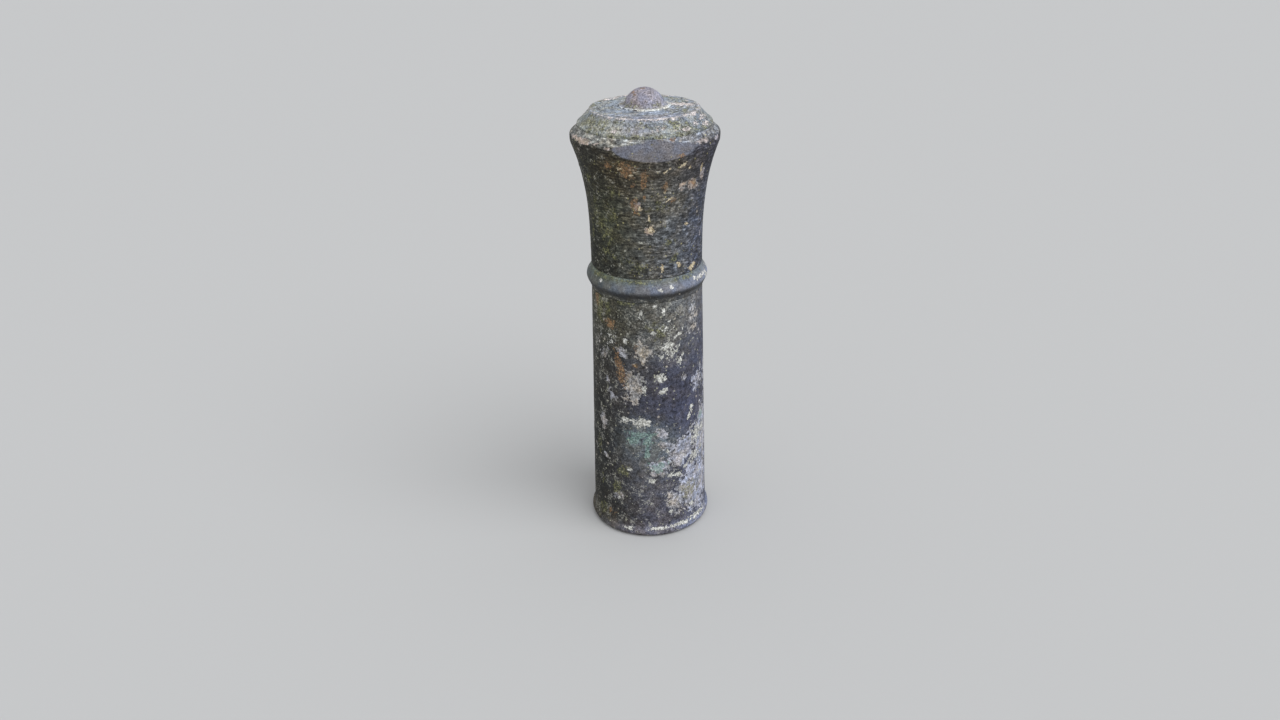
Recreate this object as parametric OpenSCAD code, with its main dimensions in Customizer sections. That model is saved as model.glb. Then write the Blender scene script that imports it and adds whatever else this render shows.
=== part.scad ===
// Street bollard in the cannon pattern: hollow iron castings stacked on a bolted-down
// base plate and clamped together by one central tie rod under a domed cover nut.
// Millimetres. The origin is the centre of the base plate's underside, +Z is up and
// the worn flat on the rim faces -Y.

/* [Foot and lower shaft] */
// Diameter over the rounded bead at the ground
foot_bead_d = 269; // [265:1:274]
// Diameter of the shaft just above the foot bead
shaft_foot_d = 256; // [253:1:258]
// Diameter of the shaft under the collar
shaft_top_d = 234.4; // [233:0.2:236]
// Height of the lower shaft
shaft_h = 565; // [450:5:700]

/* [Collar] */
// Diameter over the collar's bead
collar_d = 254; // [250:1:260]
// Height of the collar between its two joints
collar_h = 50; // [48:1:54]

/* [Head] */
// Diameter of the head above the collar
neck_d = 232.6; // [232:0.2:236]
// Diameter over the rim
rim_d = 300; // [292:1:310]
// Height of the head
head_h = 287; // [280:1:320]
// Depth of the worn flat at the front of the rim
flat_depth = 10; // [4:1:11]
// How far the worn flat is turned from -Y towards +X
flat_turn = 8; // [0:1:45]

/* [Cap and finial] */
// Diameter of the cap's foot
cap_foot_d = 269; // [267:1:270]
// Diameter of the cap's flat top
cap_top_d = 216; // [200:1:220]
// Height of the cap above its joint, at the edge of its top
cap_h = 29.9; // [28:0.1:34]
// How much the cap's top rises towards the finial
cap_crown = 2.1; // [1:0.1:4]
// Diameter of the finial's dome
dome_d = 82; // [80:1:88]
// Height of the finial above its washer
finial_h = 33.6; // [33:0.1:38]

/* [Iron and joints] */
// Thickness of the casting walls
wall = 12; // [10.5:0.5:12.5]
// Thickness of the packing in the two collar joints and at the foot
packing_t = 2; // [1:0.5:3]
// Diameter of the tie rod
rod_d = 20; // [16:1:20]

/* [Anchorage] */
// Circle of the anchor holes in the base plate
anchor_pcd = 170; // [160:1:172]
// Diameter of the anchor holes
anchor_hole_d = 18; // [14:1:18]
// Number of anchor holes
anchor_count = 4; // [3:1:4]

/* [Hidden] */
$fn = 96;

iron_dark = "#33353a";
iron_moss = "#45463b";
iron_grey = "#5d6068";
iron_pale = "#6b6f6a";
steel = "#7a7774";
lead = "#8d8f92";

slack = 0.05;             // radial play of pins and screws in their holes
casting_gap = 0.5;        // radial play of a spigot in its socket
cap_packing_t = 1.5;
finial_washer_t = 1.8;

// Levels of the joints, from the ground up
shaft_top_z = shaft_h;
collar_z = shaft_top_z + packing_t;
collar_top_z = collar_z + collar_h;
head_z = collar_top_z + packing_t;
head_top_z = head_z + head_h;
cap_z = head_top_z + cap_packing_t;
cap_edge_z = cap_z + cap_h;
cap_top_z = cap_edge_z + cap_crown;
finial_z = cap_top_z + finial_washer_t;

// Base plate
plate_r = 118.5;
plate_t = 14;
plate_boss_r = 30;
plate_boss_top_z = 54;
rib_t = 9;
rib_reach = 98;
rib_h = 30;

// Foot and lower shaft
bead_r = 13;
bead_z = 12.5;
shaft_foot_z = 44;
ledge_in_r = 104;
ledge_z = plate_t + packing_t;
ledge_t = 30;
socket_depth = 24;        // how far the collar's spigots enter
spigot_r = shaft_top_d / 2 - wall - casting_gap;
spigot_t = 12.5;

// Collar
collar_bead_r = 7.5;
collar_bore_r = 84;
guide_seat_r = 97;
guide_z = collar_top_z - 14;

// Head
flare_z = head_z + 6;     // where the neck starts to flare
flare_top_z = head_top_z - 31;
flare_power = 3;
rim_edge_r = 7.6;
rim_edge_z = head_top_z - 18.7;
upstand_d = cap_foot_d + 2.2;
neck_socket_r = neck_d / 2 - wall;
cap_socket_r = 126;
cap_socket_z = head_top_z - 24;
flat_r = 242;             // radius of the worn flat in plan, at the rim's widest
flat_lean = 0.25;         // how much it falls back for each millimetre of height
flat_z = head_top_z - 19;

// Cap and finial
cap_plate_t = 12;
cap_spigot_depth = 17;
cap_spigot_t = 10;
cap_hub_r = 26;
cap_hub_drop = 13;
finial_foot_r = 50;
finial_foot_t = 0.8;
finial_fillet_r = 10;
finial_cavity_r = 20.5;
finial_cavity_h = 19;
finial_thread_h = 9;

// Fasteners
nut_af = 1.5 * rod_d;
nut_h = 0.8 * rod_d;
washer_t = 3;
washer_r = 0.95 * rod_d;
rod_bottom_z = 4;
rod_top_z = finial_z + finial_cavity_h + finial_thread_h - 2;
thread_pitch = 2.5;
thread_depth = 0.8;
bottom_thread_l = 80;
top_thread_l = 50;
dowel_r = 4;
dowel_count = 2;
screw_r = 3;
screw_l = 20;
screw_count = 3;
guide_rim_t = 8;

// Points of an arc round [cx, cz], from angle a to angle b
function arc(cx, cz, r, a, b, n = 10) =
    [for (i = [0:n]) let (t = a + (b - a) * i / n) [cx + r * cos(t), cz + r * sin(t)]];

// Radius of the tapering shaft at height z
function shaft_r(z) =
    shaft_foot_d / 2 - (shaft_foot_d - shaft_top_d) / 2
        * (z - shaft_foot_z) / (shaft_top_z - shaft_foot_z);

// Radius of the head's flare at height z, measured from the radius at its neck
function flare_r(neck_r, z) =
    neck_r + (rim_d / 2 - 0.9 - neck_d / 2)
        * pow(max(0, z - flare_z) / (flare_top_z - flare_z), flare_power);

// A ring of rectangular section
module ring(r_in, r_out, z, h) {
    rotate_extrude()
        translate([r_in, z])
            square([r_out - r_in, h]);
}

// Children repeated evenly on a circle
module around(count, r, start = 0) {
    for (i = [0:count - 1])
        rotate(start + i * 360 / count)
            translate([r, 0, 0])
                children();
}

module hex_nut(af, h, bore_r, z) {
    translate([0, 0, z])
        difference() {
            cylinder(h = h, r = af / sqrt(3), $fn = 6);
            translate([0, 0, -1])
                cylinder(h = h + 2, r = bore_r);
        }
}

// Upright pins, or with extra > 0 the holes for them, half in each part of a joint
module joint_pins(r, z_mid, half_l, extra = 0, start = 90) {
    around(dowel_count, r, start)
        translate([0, 0, z_mid - half_l - extra])
            cylinder(h = 2 * (half_l + extra), r = dowel_r + extra, $fn = 32);
}

module foot_pins(extra = 0) {
    joint_pins((ledge_in_r + plate_r) / 2, plate_t + packing_t / 2, 9, extra, 45);
}

module lower_pins(extra = 0) {
    joint_pins((shaft_top_d - wall) / 2, shaft_top_z + packing_t / 2, 11, extra);
}

module upper_pins(extra = 0) {
    joint_pins((neck_d - wall) / 2, collar_top_z + packing_t / 2, 11, extra, 0);
}

module base_rib() {
    rotate([90, 0, 0])
        translate([0, 0, -rib_t / 2])
            linear_extrude(rib_t)
                polygon([
                    [plate_boss_r - 4, plate_t - 1], [rib_reach, plate_t - 1],
                    [rib_reach, plate_t + 4], [plate_boss_r - 4, plate_t + rib_h]
                ]);
}

module base_plate() {
    color(steel)
        difference() {
            union() {
                cylinder(h = plate_t, r = plate_r);
                cylinder(h = plate_boss_top_z, r = plate_boss_r);
                around(anchor_count, 0, 180 / anchor_count)
                    base_rib();
            }
            translate([0, 0, -1])
                cylinder(h = plate_boss_top_z + 2, r = rod_d / 2 + slack);
            around(anchor_count, anchor_pcd / 2)
                translate([0, 0, -1])
                    cylinder(h = plate_t + 2, d = anchor_hole_d);
            foot_pins(slack);
        }
}

module foot_packing() {
    color(lead)
        difference() {
            ring(ledge_in_r + 0.5, plate_r - 0.5, plate_t, packing_t);
            foot_pins(slack);
        }
}

module foot_dowels() {
    color(steel)
        foot_pins();
}

module lower_shaft() {
    bead_cx = foot_bead_d / 2 - bead_r;
    outer = concat(
        [[foot_bead_d / 2 - 7.5, 0]],
        arc(bead_cx, bead_z, bead_r, -66, 48, 12),
        [for (t = [0.2, 0.5, 1]) [
            shaft_r(shaft_foot_z) + 2 * pow(1 - t, 2),
            bead_z + 9.7 + t * (shaft_foot_z - bead_z - 9.7)
        ]],
        arc(shaft_r(shaft_top_z) - 2, shaft_top_z - 2, 2, 0, 90, 4)
    );
    bore_r = shaft_top_d / 2 - wall;
    inner = [
        [bore_r, shaft_top_z],
        [bore_r, shaft_top_z - socket_depth - 16],
        [shaft_r(shaft_top_z - 60) - wall, shaft_top_z - 60],
        [shaft_r(ledge_z + ledge_t + 12) - wall, ledge_z + ledge_t + 12],
        [ledge_in_r, ledge_z + ledge_t],
        [ledge_in_r, ledge_z],
        [plate_r + 1, ledge_z],
        [plate_r + 1, 0]
    ];
    color(iron_dark)
        difference() {
            rotate_extrude()
                polygon(concat(outer, inner));
            foot_pins(slack);
            lower_pins(slack);
        }
}

// The rod's threads are turned as separate rings, with no helix
module tie_rod() {
    r = rod_d / 2;
    threads = function (z_from, length) [
        for (i = [0:floor(length / thread_pitch) - 1], k = [0, 1])
            [r - (k == 0 ? 0 : thread_depth), z_from + (i + 0.2 + 0.5 * k) * thread_pitch]
    ];
    color(steel)
        rotate_extrude()
            polygon(concat(
                [[0, rod_bottom_z], [r - 1.5, rod_bottom_z]],
                threads(rod_bottom_z + 1.5, bottom_thread_l),
                [[r, rod_bottom_z + bottom_thread_l + 4], [r, rod_top_z - top_thread_l - 4]],
                threads(rod_top_z - top_thread_l - 1.5, top_thread_l),
                [[r - 1.5, rod_top_z], [0, rod_top_z]]
            ));
}

module rod_lock_washer() {
    color(steel)
        ring(rod_d / 2 + 0.5, washer_r, plate_boss_top_z, washer_t);
}

module rod_lock_nut() {
    color(steel)
        hex_nut(nut_af, nut_h, rod_d / 2 + slack, plate_boss_top_z + washer_t);
}

module lower_packing() {
    color(lead)
        difference() {
            ring(spigot_r + casting_gap, shaft_top_d / 2 - 1, shaft_top_z, packing_t);
            lower_pins(slack);
        }
}

module lower_joint_dowels() {
    color(steel)
        lower_pins();
}

module guide_screw_holes(extra = 0) {
    around(screw_count, (collar_bore_r + guide_seat_r) / 2, 30)
        translate([0, 0, guide_z + guide_rim_t - screw_l - extra])
            cylinder(h = screw_l + 2 * extra, r = screw_r + extra, $fn = 24);
}

module collar_ring() {
    bead_cx = collar_d / 2 - collar_bead_r;
    mid_z = collar_z + collar_h / 2 - 0.5;
    section = concat(
        [
            [spigot_r - spigot_t, collar_z - socket_depth],
            [spigot_r, collar_z - socket_depth],
            [spigot_r, collar_z],
            [shaft_top_d / 2 + 0.6, collar_z],
            [shaft_top_d / 2 + 2, collar_z + 4.5]
        ],
        arc(bead_cx, mid_z, collar_bead_r, -40, 50, 10),
        [
            [neck_d / 2 + 3.7, collar_top_z - 10],
            [neck_d / 2 + 1.7, collar_top_z - 6],
            [neck_d / 2 + 0.2, collar_top_z],
            [neck_socket_r - casting_gap, collar_top_z],
            [neck_socket_r - casting_gap, collar_top_z + socket_depth],
            [guide_seat_r, collar_top_z + socket_depth],
            [guide_seat_r, guide_z],
            [collar_bore_r, guide_z],
            [collar_bore_r, collar_z - 6]
        ]
    );
    color(iron_grey)
        difference() {
            rotate_extrude()
                polygon(section);
            lower_pins(slack);
            upper_pins(slack);
            guide_screw_holes(slack);
        }
}

// Spider that holds the middle of the tie rod on the bollard's axis
module rod_guide() {
    hub_r = 22;
    arm_w = 14;
    color(steel)
        difference() {
            union() {
                ring(collar_bore_r + 0.5, guide_seat_r - 0.5, guide_z, guide_rim_t);
                translate([0, 0, guide_z - 4])
                    cylinder(h = guide_rim_t + 8, r = hub_r);
                for (i = [0:screw_count - 1])
                    rotate(30 + i * 360 / screw_count)
                        translate([hub_r - 4, -arm_w / 2, guide_z])
                            cube([collar_bore_r + 4 - hub_r + 4, arm_w, guide_rim_t]);
            }
            translate([0, 0, guide_z - 5])
                cylinder(h = guide_rim_t + 10, r = rod_d / 2 + 1);
            guide_screw_holes(slack);
        }
}

module rod_guide_screws() {
    color(steel)
        union() {
            guide_screw_holes();
            around(screw_count, (collar_bore_r + guide_seat_r) / 2, 30)
                translate([0, 0, guide_z + guide_rim_t])
                    difference() {
                        cylinder(h = 4, r = 5.2, $fn = 32);
                        translate([-6, -0.8, 2.4])
                            cube([12, 1.6, 2]);
                    }
        }
}

module upper_packing() {
    color(lead)
        difference() {
            ring(neck_socket_r, neck_d / 2 - 1, collar_top_z, packing_t);
            upper_pins(slack);
        }
}

module upper_joint_dowels() {
    color(steel)
        upper_pins();
}

// Everything behind the worn flat, as one leaning cone
module behind_the_flat() {
    h = head_h + 40;
    low = head_z - 20;
    r_low = flat_r + flat_lean * (flat_z - low);
    rotate(flat_turn)
        translate([0, flat_r - rim_d / 2 + flat_depth, low])
            cylinder(h = h, r1 = r_low, r2 = r_low - flat_lean * h, $fn = 180);
}

module head() {
    steps = 20;
    outer = concat(
        arc(neck_d / 2 - 1.5, head_z + 1.5, 1.5, -90, 0, 3),
        [for (i = [0:steps]) let (z = flare_z + (flare_top_z - flare_z) * i / steps)
            [flare_r(neck_d / 2, z), z]],
        [[rim_d / 2 - 0.1, flare_top_z + 5]],
        arc(rim_d / 2 - rim_edge_r, rim_edge_z, rim_edge_r, 0, 80, 8),
        [[upstand_d / 2 + 3, head_top_z - 7.2], [upstand_d / 2, head_top_z]]
    );
    inner_top = [
        for (i = [steps:-1:0]) let (z = flare_z + 28 + (flare_top_z - flare_z - 28) * i / steps)
            [min(cap_socket_r - 2, flare_r(neck_socket_r + 0.3, z)), z]
    ];
    section = concat(
        outer,
        [[cap_socket_r, head_top_z], [cap_socket_r, cap_socket_z]],
        inner_top,
        [[neck_socket_r, head_z + socket_depth + 6], [neck_socket_r, head_z]]
    );
    color(iron_moss)
        difference() {
            intersection() {
                rotate_extrude()
                    polygon(section);
                behind_the_flat();
            }
            upper_pins(slack);
        }
}

module cap_packing() {
    color(lead)
        ring(cap_socket_r, cap_foot_d / 2 - 1, head_top_z, cap_packing_t);
}

module cap() {
    foot_r = cap_foot_d / 2;
    top_r = cap_top_d / 2;
    spigot_out_r = cap_socket_r - casting_gap;
    spigot_in_r = spigot_out_r - cap_spigot_t;
    under_z = cap_edge_z - cap_plate_t;
    land_r = finial_foot_r + 4;
    color(iron_pale)
        rotate_extrude()
            polygon(concat(
                [
                    [spigot_in_r, cap_z - cap_spigot_depth],
                    [spigot_out_r, cap_z - cap_spigot_depth],
                    [spigot_out_r, cap_z], [foot_r, cap_z],
                    [top_r + 2.6, cap_edge_z - 4.5], [top_r + 1.8, cap_edge_z - 3]
                ],
                arc(top_r - 0.8, cap_edge_z - 2.6, 2.6, 10, 90, 4),
                [
                    [top_r - 6, cap_edge_z], [top_r - 7, cap_edge_z - 0.6],
                    [top_r - 14, cap_edge_z - 0.3], [land_r, cap_top_z],
                    [rod_d / 2 + 0.5, cap_top_z],
                    [rod_d / 2 + 0.5, under_z - cap_hub_drop],
                    [cap_hub_r, under_z - cap_hub_drop], [cap_hub_r, under_z],
                    [top_r - 10, under_z], [spigot_in_r, cap_z - 2]
                ]
            ));
}

module clamp_washer() {
    color(steel)
        ring(rod_d / 2 + 0.5, washer_r, cap_top_z, washer_t);
}

module clamp_nut() {
    color(steel)
        hex_nut(nut_af, nut_h, rod_d / 2 + slack, cap_top_z + washer_t);
}

module finial_washer() {
    color(lead)
        ring(finial_cavity_r + 0.5, finial_foot_r + 1.5, cap_top_z, finial_washer_t);
}

// The dome is a sphere that a concave fillet, tangent to it, brings down to the foot
module finial() {
    dome_r = dome_d / 2;
    dome_z = finial_z + finial_h - dome_r;
    fillet_z = finial_z + finial_foot_t + finial_fillet_r;
    fillet_cx = sqrt(pow(dome_r + finial_fillet_r, 2) - pow(fillet_z - dome_z, 2));
    meet = atan2(fillet_z - dome_z, fillet_cx);
    thread_z = finial_z + finial_cavity_h;
    color(iron_grey)
        rotate_extrude()
            polygon(concat(
                [[finial_cavity_r, finial_z], [finial_foot_r, finial_z],
                 [finial_foot_r, finial_z + finial_foot_t]],
                arc(fillet_cx, fillet_z, finial_fillet_r, 270, 180 + meet, 6),
                arc(0, dome_z, dome_r, meet + 4, 90, 16),
                [[0, thread_z + finial_thread_h],
                 [rod_d / 2 + slack, thread_z + finial_thread_h],
                 [rod_d / 2 + slack, thread_z],
                 [finial_cavity_r, thread_z]]
            ));
}

base_plate();
foot_packing();
foot_dowels();
lower_shaft();
tie_rod();
rod_lock_washer();
rod_lock_nut();
lower_packing();
lower_joint_dowels();
collar_ring();
rod_guide();
rod_guide_screws();
upper_packing();
upper_joint_dowels();
head();
cap_packing();
cap();
clamp_washer();
clamp_nut();
finial_washer();
finial();
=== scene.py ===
"""Looks of the cannon bollard: weathered iron castings clamped by a hidden tie rod."""

import logging
import math
from dataclasses import dataclass, replace
from enum import Enum
from functools import cache, reduce

import bmesh
import bpy
import numpy as np
from mathutils import Matrix, Vector


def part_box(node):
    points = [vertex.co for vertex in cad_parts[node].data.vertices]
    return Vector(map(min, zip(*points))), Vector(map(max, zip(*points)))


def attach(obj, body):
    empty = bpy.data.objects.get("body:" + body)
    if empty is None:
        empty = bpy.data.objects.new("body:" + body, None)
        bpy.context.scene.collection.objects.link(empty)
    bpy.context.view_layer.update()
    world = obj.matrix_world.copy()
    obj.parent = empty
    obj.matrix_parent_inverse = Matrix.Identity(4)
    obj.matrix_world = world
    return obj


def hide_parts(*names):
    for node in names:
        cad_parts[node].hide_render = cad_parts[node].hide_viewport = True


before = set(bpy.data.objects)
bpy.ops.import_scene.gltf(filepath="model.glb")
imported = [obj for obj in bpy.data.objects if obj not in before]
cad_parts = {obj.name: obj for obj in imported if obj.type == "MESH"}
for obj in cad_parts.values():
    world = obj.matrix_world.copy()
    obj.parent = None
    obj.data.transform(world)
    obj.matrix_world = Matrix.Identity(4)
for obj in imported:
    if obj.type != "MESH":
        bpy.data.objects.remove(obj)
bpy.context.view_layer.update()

log = logging.getLogger("bollard")
MM = 0.001
PER_METRE = 1 / MM
BODY = "root"
FLOAT, VECTOR, COLOUR = "NodeSocketFloat", "NodeSocketVector", "NodeSocketColor"

Colour = tuple[float, float, float, float]
Point = tuple[float, float]
Socket = bpy.types.NodeSocket
Node = bpy.types.Node


def srgb(red: float, green: float, blue: float) -> Colour:
    """Turns display levels into a linear colour.

    Args:
        red: Level of red, 0 to 255.
        green: Level of green, 0 to 255.
        blue: Level of blue, 0 to 255.

    Returns:
        The linear colour, opaque.
    """
    levels = np.array([red, green, blue]) / 255
    linear = np.where(levels <= 0.04045, levels / 12.92, ((levels + 0.055) / 1.055) ** 2.4)
    return (*map(float, linear), 1.0)


class Layer(Enum):
    """What shows on a patch of the iron, in the order in which it lies on the paint."""

    BARE = "bare"
    RUST = "rust"
    VERDIGRIS = "verdigris"
    MOSS = "moss"
    PALE = "pale"


@dataclass(frozen=True)
class Mark:
    """One worn, stained or overgrown patch on a turned skin.

    Azimuth is in degrees from the front towards +X, run is the height in millimetres, or on
    the cap and finial the way along the section, and the half sizes are in millimetres.
    """

    azimuth: float
    run: float
    half_width: float
    half_height: float
    slant: float = 0.0
    strength: float = 1.0
    warmth: float = 0.5


@dataclass(frozen=True)
class Wash:
    """A broad tone round one place on a turned skin, in the units of a Mark; besides the paint's
    own tone it carries painted light and shade.

    Scuff says how much of the paint there is rubbed through in small spots, 0 to 1.
    """

    azimuth: float
    run: float
    reach_width: float
    reach_height: float
    colour: Colour
    scuff: float = 0.5


Wear = dict[Layer, list[Mark]]


def marks(*rows: tuple[float, ...]) -> list[Mark]:
    """Returns one mark for each row of a Mark's fields."""
    return [Mark(*row) for row in rows]


def washes(*rows: tuple[float, ...]) -> list[Wash]:
    """Returns one wash for each row of place, reaches, levels of the colour, and scuff."""
    return [Wash(*row[:4], srgb(*row[4:7]), *row[7:]) for row in rows]


@dataclass(frozen=True)
class Grain:
    """A noise: the size of its features in millimetres, its detail and its roughness."""

    size: float | Socket
    detail: float = 2.0
    roughness: float = 0.5


@dataclass(frozen=True)
class Breakup:
    """How patches break up: the size of the breaks, and how ragged and soft their edge is."""

    size: float
    ragged: float
    softness: float


BREAKUPS = {
    Layer.RUST: Breakup(11.0, 0.85, 0.16),
    Layer.VERDIGRIS: Breakup(10.0, 0.9, 0.18),
    Layer.MOSS: Breakup(12.0, 1.1, 0.24),
    Layer.PALE: Breakup(8.0, 0.8, 0.05),
}

PORES = Grain(1.6, 2.0, 0.6)
BUMPS = Grain(5.0, 3.0, 0.6)
SPOTS = Grain(3.2, 3.0, 0.6)
RUBS = Grain(4.2, 4.0, 0.68)
RUB_DRIFT = Grain(19.0)
GAPS = Grain(5.5, 4.0, 0.68)
RIPPLES = Grain(4.0, 3.0, 0.6)
DRIPS = Grain(4.0, 3.0, 0.6)
SCRATCHES = Grain(3.4, 3.0, 0.6)
PAINT_LEFT = Grain(9.0, 5.0, 0.66)
RIM_BREAKS = Grain(8.0)
RUST_GRAIN = Grain(4.0, 3.0, 0.6)
VERDIGRIS_GRAIN = Grain(3.5, 3.0)
MOSS_GRAIN = Grain(4.0, 4.0, 0.65)
CHALK_GRAIN = Grain(4.5, 4.0, 0.6)
HUE_DRIFT = Grain(24.0, 3.0, 0.55)
CROWDING = Grain(24.0, 3.0, 0.6)
MOTTLE = {
    "Coarse": Grain(38.0),
    "Middle": Grain(7.5, 4.0, 0.6),
    "Fine": Grain(2.8, 3.0, 0.65),
}
TOOL_LINES = Grain(1.2)
STAINS = Grain(13.0, 4.0, 0.65)

WARM_LIGHT = srgb(255, 243, 226)
COOL_LIGHT = srgb(228, 238, 255)
UNDERCOAT = srgb(36, 35, 38)
RUBBED_BRIGHT = srgb(158, 157, 148)
BRIGHT_METAL = srgb(205, 205, 210)
FLAKE_EDGE = srgb(184, 182, 180)
# Painted shadow along the edges of flakes and chalky patches.
EDGE_SHADOW = srgb(30, 29, 32)
CHIP = srgb(168, 160, 150)
PIT = srgb(22, 21, 22)
RUST_DARK, RUST_LIGHT, RUST_SPOT = srgb(88, 74, 60), srgb(158, 120, 84), srgb(196, 178, 132)
VERDIGRIS_DARK, VERDIGRIS_LIGHT = srgb(86, 106, 103), srgb(146, 170, 160)
VERDIGRIS_EDGE, VERDIGRIS_HALO = srgb(84, 146, 128), srgb(92, 142, 128)
MOSS_DARK, MOSS_LIGHT = srgb(62, 63, 49), srgb(148, 148, 104)
STEEL_PIT = srgb(48, 36, 30)


class Canvas:
    """A shader or geometry node tree, with short ways to place nodes in it."""

    def __init__(self, tree: bpy.types.NodeTree) -> None:
        """Takes the tree that the nodes go into."""
        self.tree = tree
        self.shading = tree.bl_idname == "ShaderNodeTree"

    def feed(self, node: Node, inputs: dict) -> Node:
        """Links or sets inputs of a node.

        Args:
            node: The node.
            inputs: Socket names or numbers, each with a socket to link or a value to set.

        Returns:
            The node.
        """
        for key, value in inputs.items():
            if isinstance(value, Socket):
                self.tree.links.new(value, node.inputs[key])
            else:
                node.inputs[key].default_value = value
        return node

    def place(self, kind: str, inputs: dict | None = None, **settings: object) -> Node:
        """Places one node.

        Args:
            kind: Blender's name of the node type.
            inputs: What its inputs are fed.
            **settings: The node's own properties.

        Returns:
            The new node.
        """
        node = self.tree.nodes.new(kind)
        for key, value in settings.items():
            setattr(node, key, value)
        return self.feed(node, inputs or {})

    def group(self, tree: bpy.types.NodeTree, inputs: dict) -> Node:
        """Places a node group with its inputs."""
        kind = "ShaderNodeGroup" if self.shading else "GeometryNodeGroup"
        return self.place(kind, inputs, node_tree=tree)

    def math(
        self, operation: str, a: Socket | float, b: Socket | float = 0.0, clamp: bool = False
    ) -> Socket:
        """Places a Math node and returns its result."""
        node = self.place("ShaderNodeMath", {0: a, 1: b}, operation=operation, use_clamp=clamp)
        return node.outputs[0]

    def vector(self, operation: str, inputs: dict, output: int | str = 0) -> Socket:
        """Places a Vector Math node and returns one of its outputs."""
        return self.place("ShaderNodeVectorMath", inputs, operation=operation).outputs[output]

    def add(self, *terms: Socket | float) -> Socket:
        """Returns the sum of the terms."""
        return reduce(lambda a, b: self.math("ADD", a, b), terms)

    def times(self, *terms: Socket | float) -> Socket:
        """Returns the product of the terms."""
        return reduce(lambda a, b: self.math("MULTIPLY", a, b), terms)

    def rest(self, value: Socket) -> Socket:
        """Returns what the value lacks of 1."""
        return self.math("SUBTRACT", 1.0, value)

    def swing(self, value: Socket, amount: Socket | float) -> Socket:
        """Returns a noise about one half as a swing about zero, times an amount."""
        return self.times(self.math("SUBTRACT", value, 0.5), amount)

    def step(self, value: Socket, low: Socket | float, high: Socket | float) -> Socket:
        """Returns a smooth step from 0 at low to 1 at high."""
        inputs = {"Value": value, "From Min": low, "From Max": high}
        return self.place("ShaderNodeMapRange", inputs, interpolation_type="SMOOTHSTEP").outputs[0]

    def noise(self, vector: Socket, grain: Grain) -> Socket:
        """Places a noise.

        Args:
            vector: Where it is read, in metres.
            grain: Its grain, whose size may also be a socket.

        Returns:
            Its value.
        """
        if isinstance(grain.size, Socket):
            scale = self.math("DIVIDE", PER_METRE, grain.size)
        else:
            scale = PER_METRE / grain.size
        inputs = {
            "Vector": vector, "Scale": scale, "Detail": grain.detail, "Roughness": grain.roughness
        }
        return self.place("ShaderNodeTexNoise", inputs).outputs[0]

    def stretch(self, vector: Socket, by: tuple[float, float, float]) -> Socket:
        """Returns the vector with each axis multiplied."""
        return self.vector("MULTIPLY", {0: vector, 1: by})

    def scaled(self, colour: Socket, value: Socket | float) -> Socket:
        """Returns the colour or vector times a value."""
        return self.vector("SCALE", {0: colour, "Scale": value})

    def mix(
        self, factor: Socket | float, a: Socket | Colour, b: Socket | Colour, blend: str = "MIX"
    ) -> Socket:
        """Returns colour a mixed with colour b by a factor."""
        inputs = {0: factor, 6: a, 7: b}
        return self.place("ShaderNodeMix", inputs, data_type="RGBA", blend_type=blend).outputs[2]

    def position(self) -> Socket:
        """Returns the position on the piece."""
        if self.shading:
            return self.place("ShaderNodeTexCoord").outputs["Object"]
        return self.place("GeometryNodeInputPosition").outputs[0]

    def attribute(self, name: str) -> Socket:
        """Finds a value that was written on the mesh.

        Args:
            name: The attribute's name.

        Returns:
            Its value.
        """
        if self.shading:
            return self.place("ShaderNodeAttribute", attribute_name=name).outputs["Fac"]
        node = self.place("GeometryNodeInputNamedAttribute", {"Name": name}, data_type="FLOAT")
        return node.outputs["Attribute"]

    def patches(self, where: Socket, layer: Layer, breakup: Breakup) -> tuple[Socket, Socket]:
        """Places the ragged patches of a layer.

        Args:
            where: The position.
            layer: The layer, whose smooth field is on the mesh.
            breakup: How the patches break up.

        Returns:
            The mask of the patches, and the rim round them.
        """
        node = self.group(
            Effect.ragged_patch(self.shading),
            {"Field": self.attribute(layer.value), "Vector": where, "Size": breakup.size,
             "Ragged": breakup.ragged, "Softness": breakup.softness},
        )
        return node.outputs["Mask"], node.outputs["Rim"]


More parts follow.
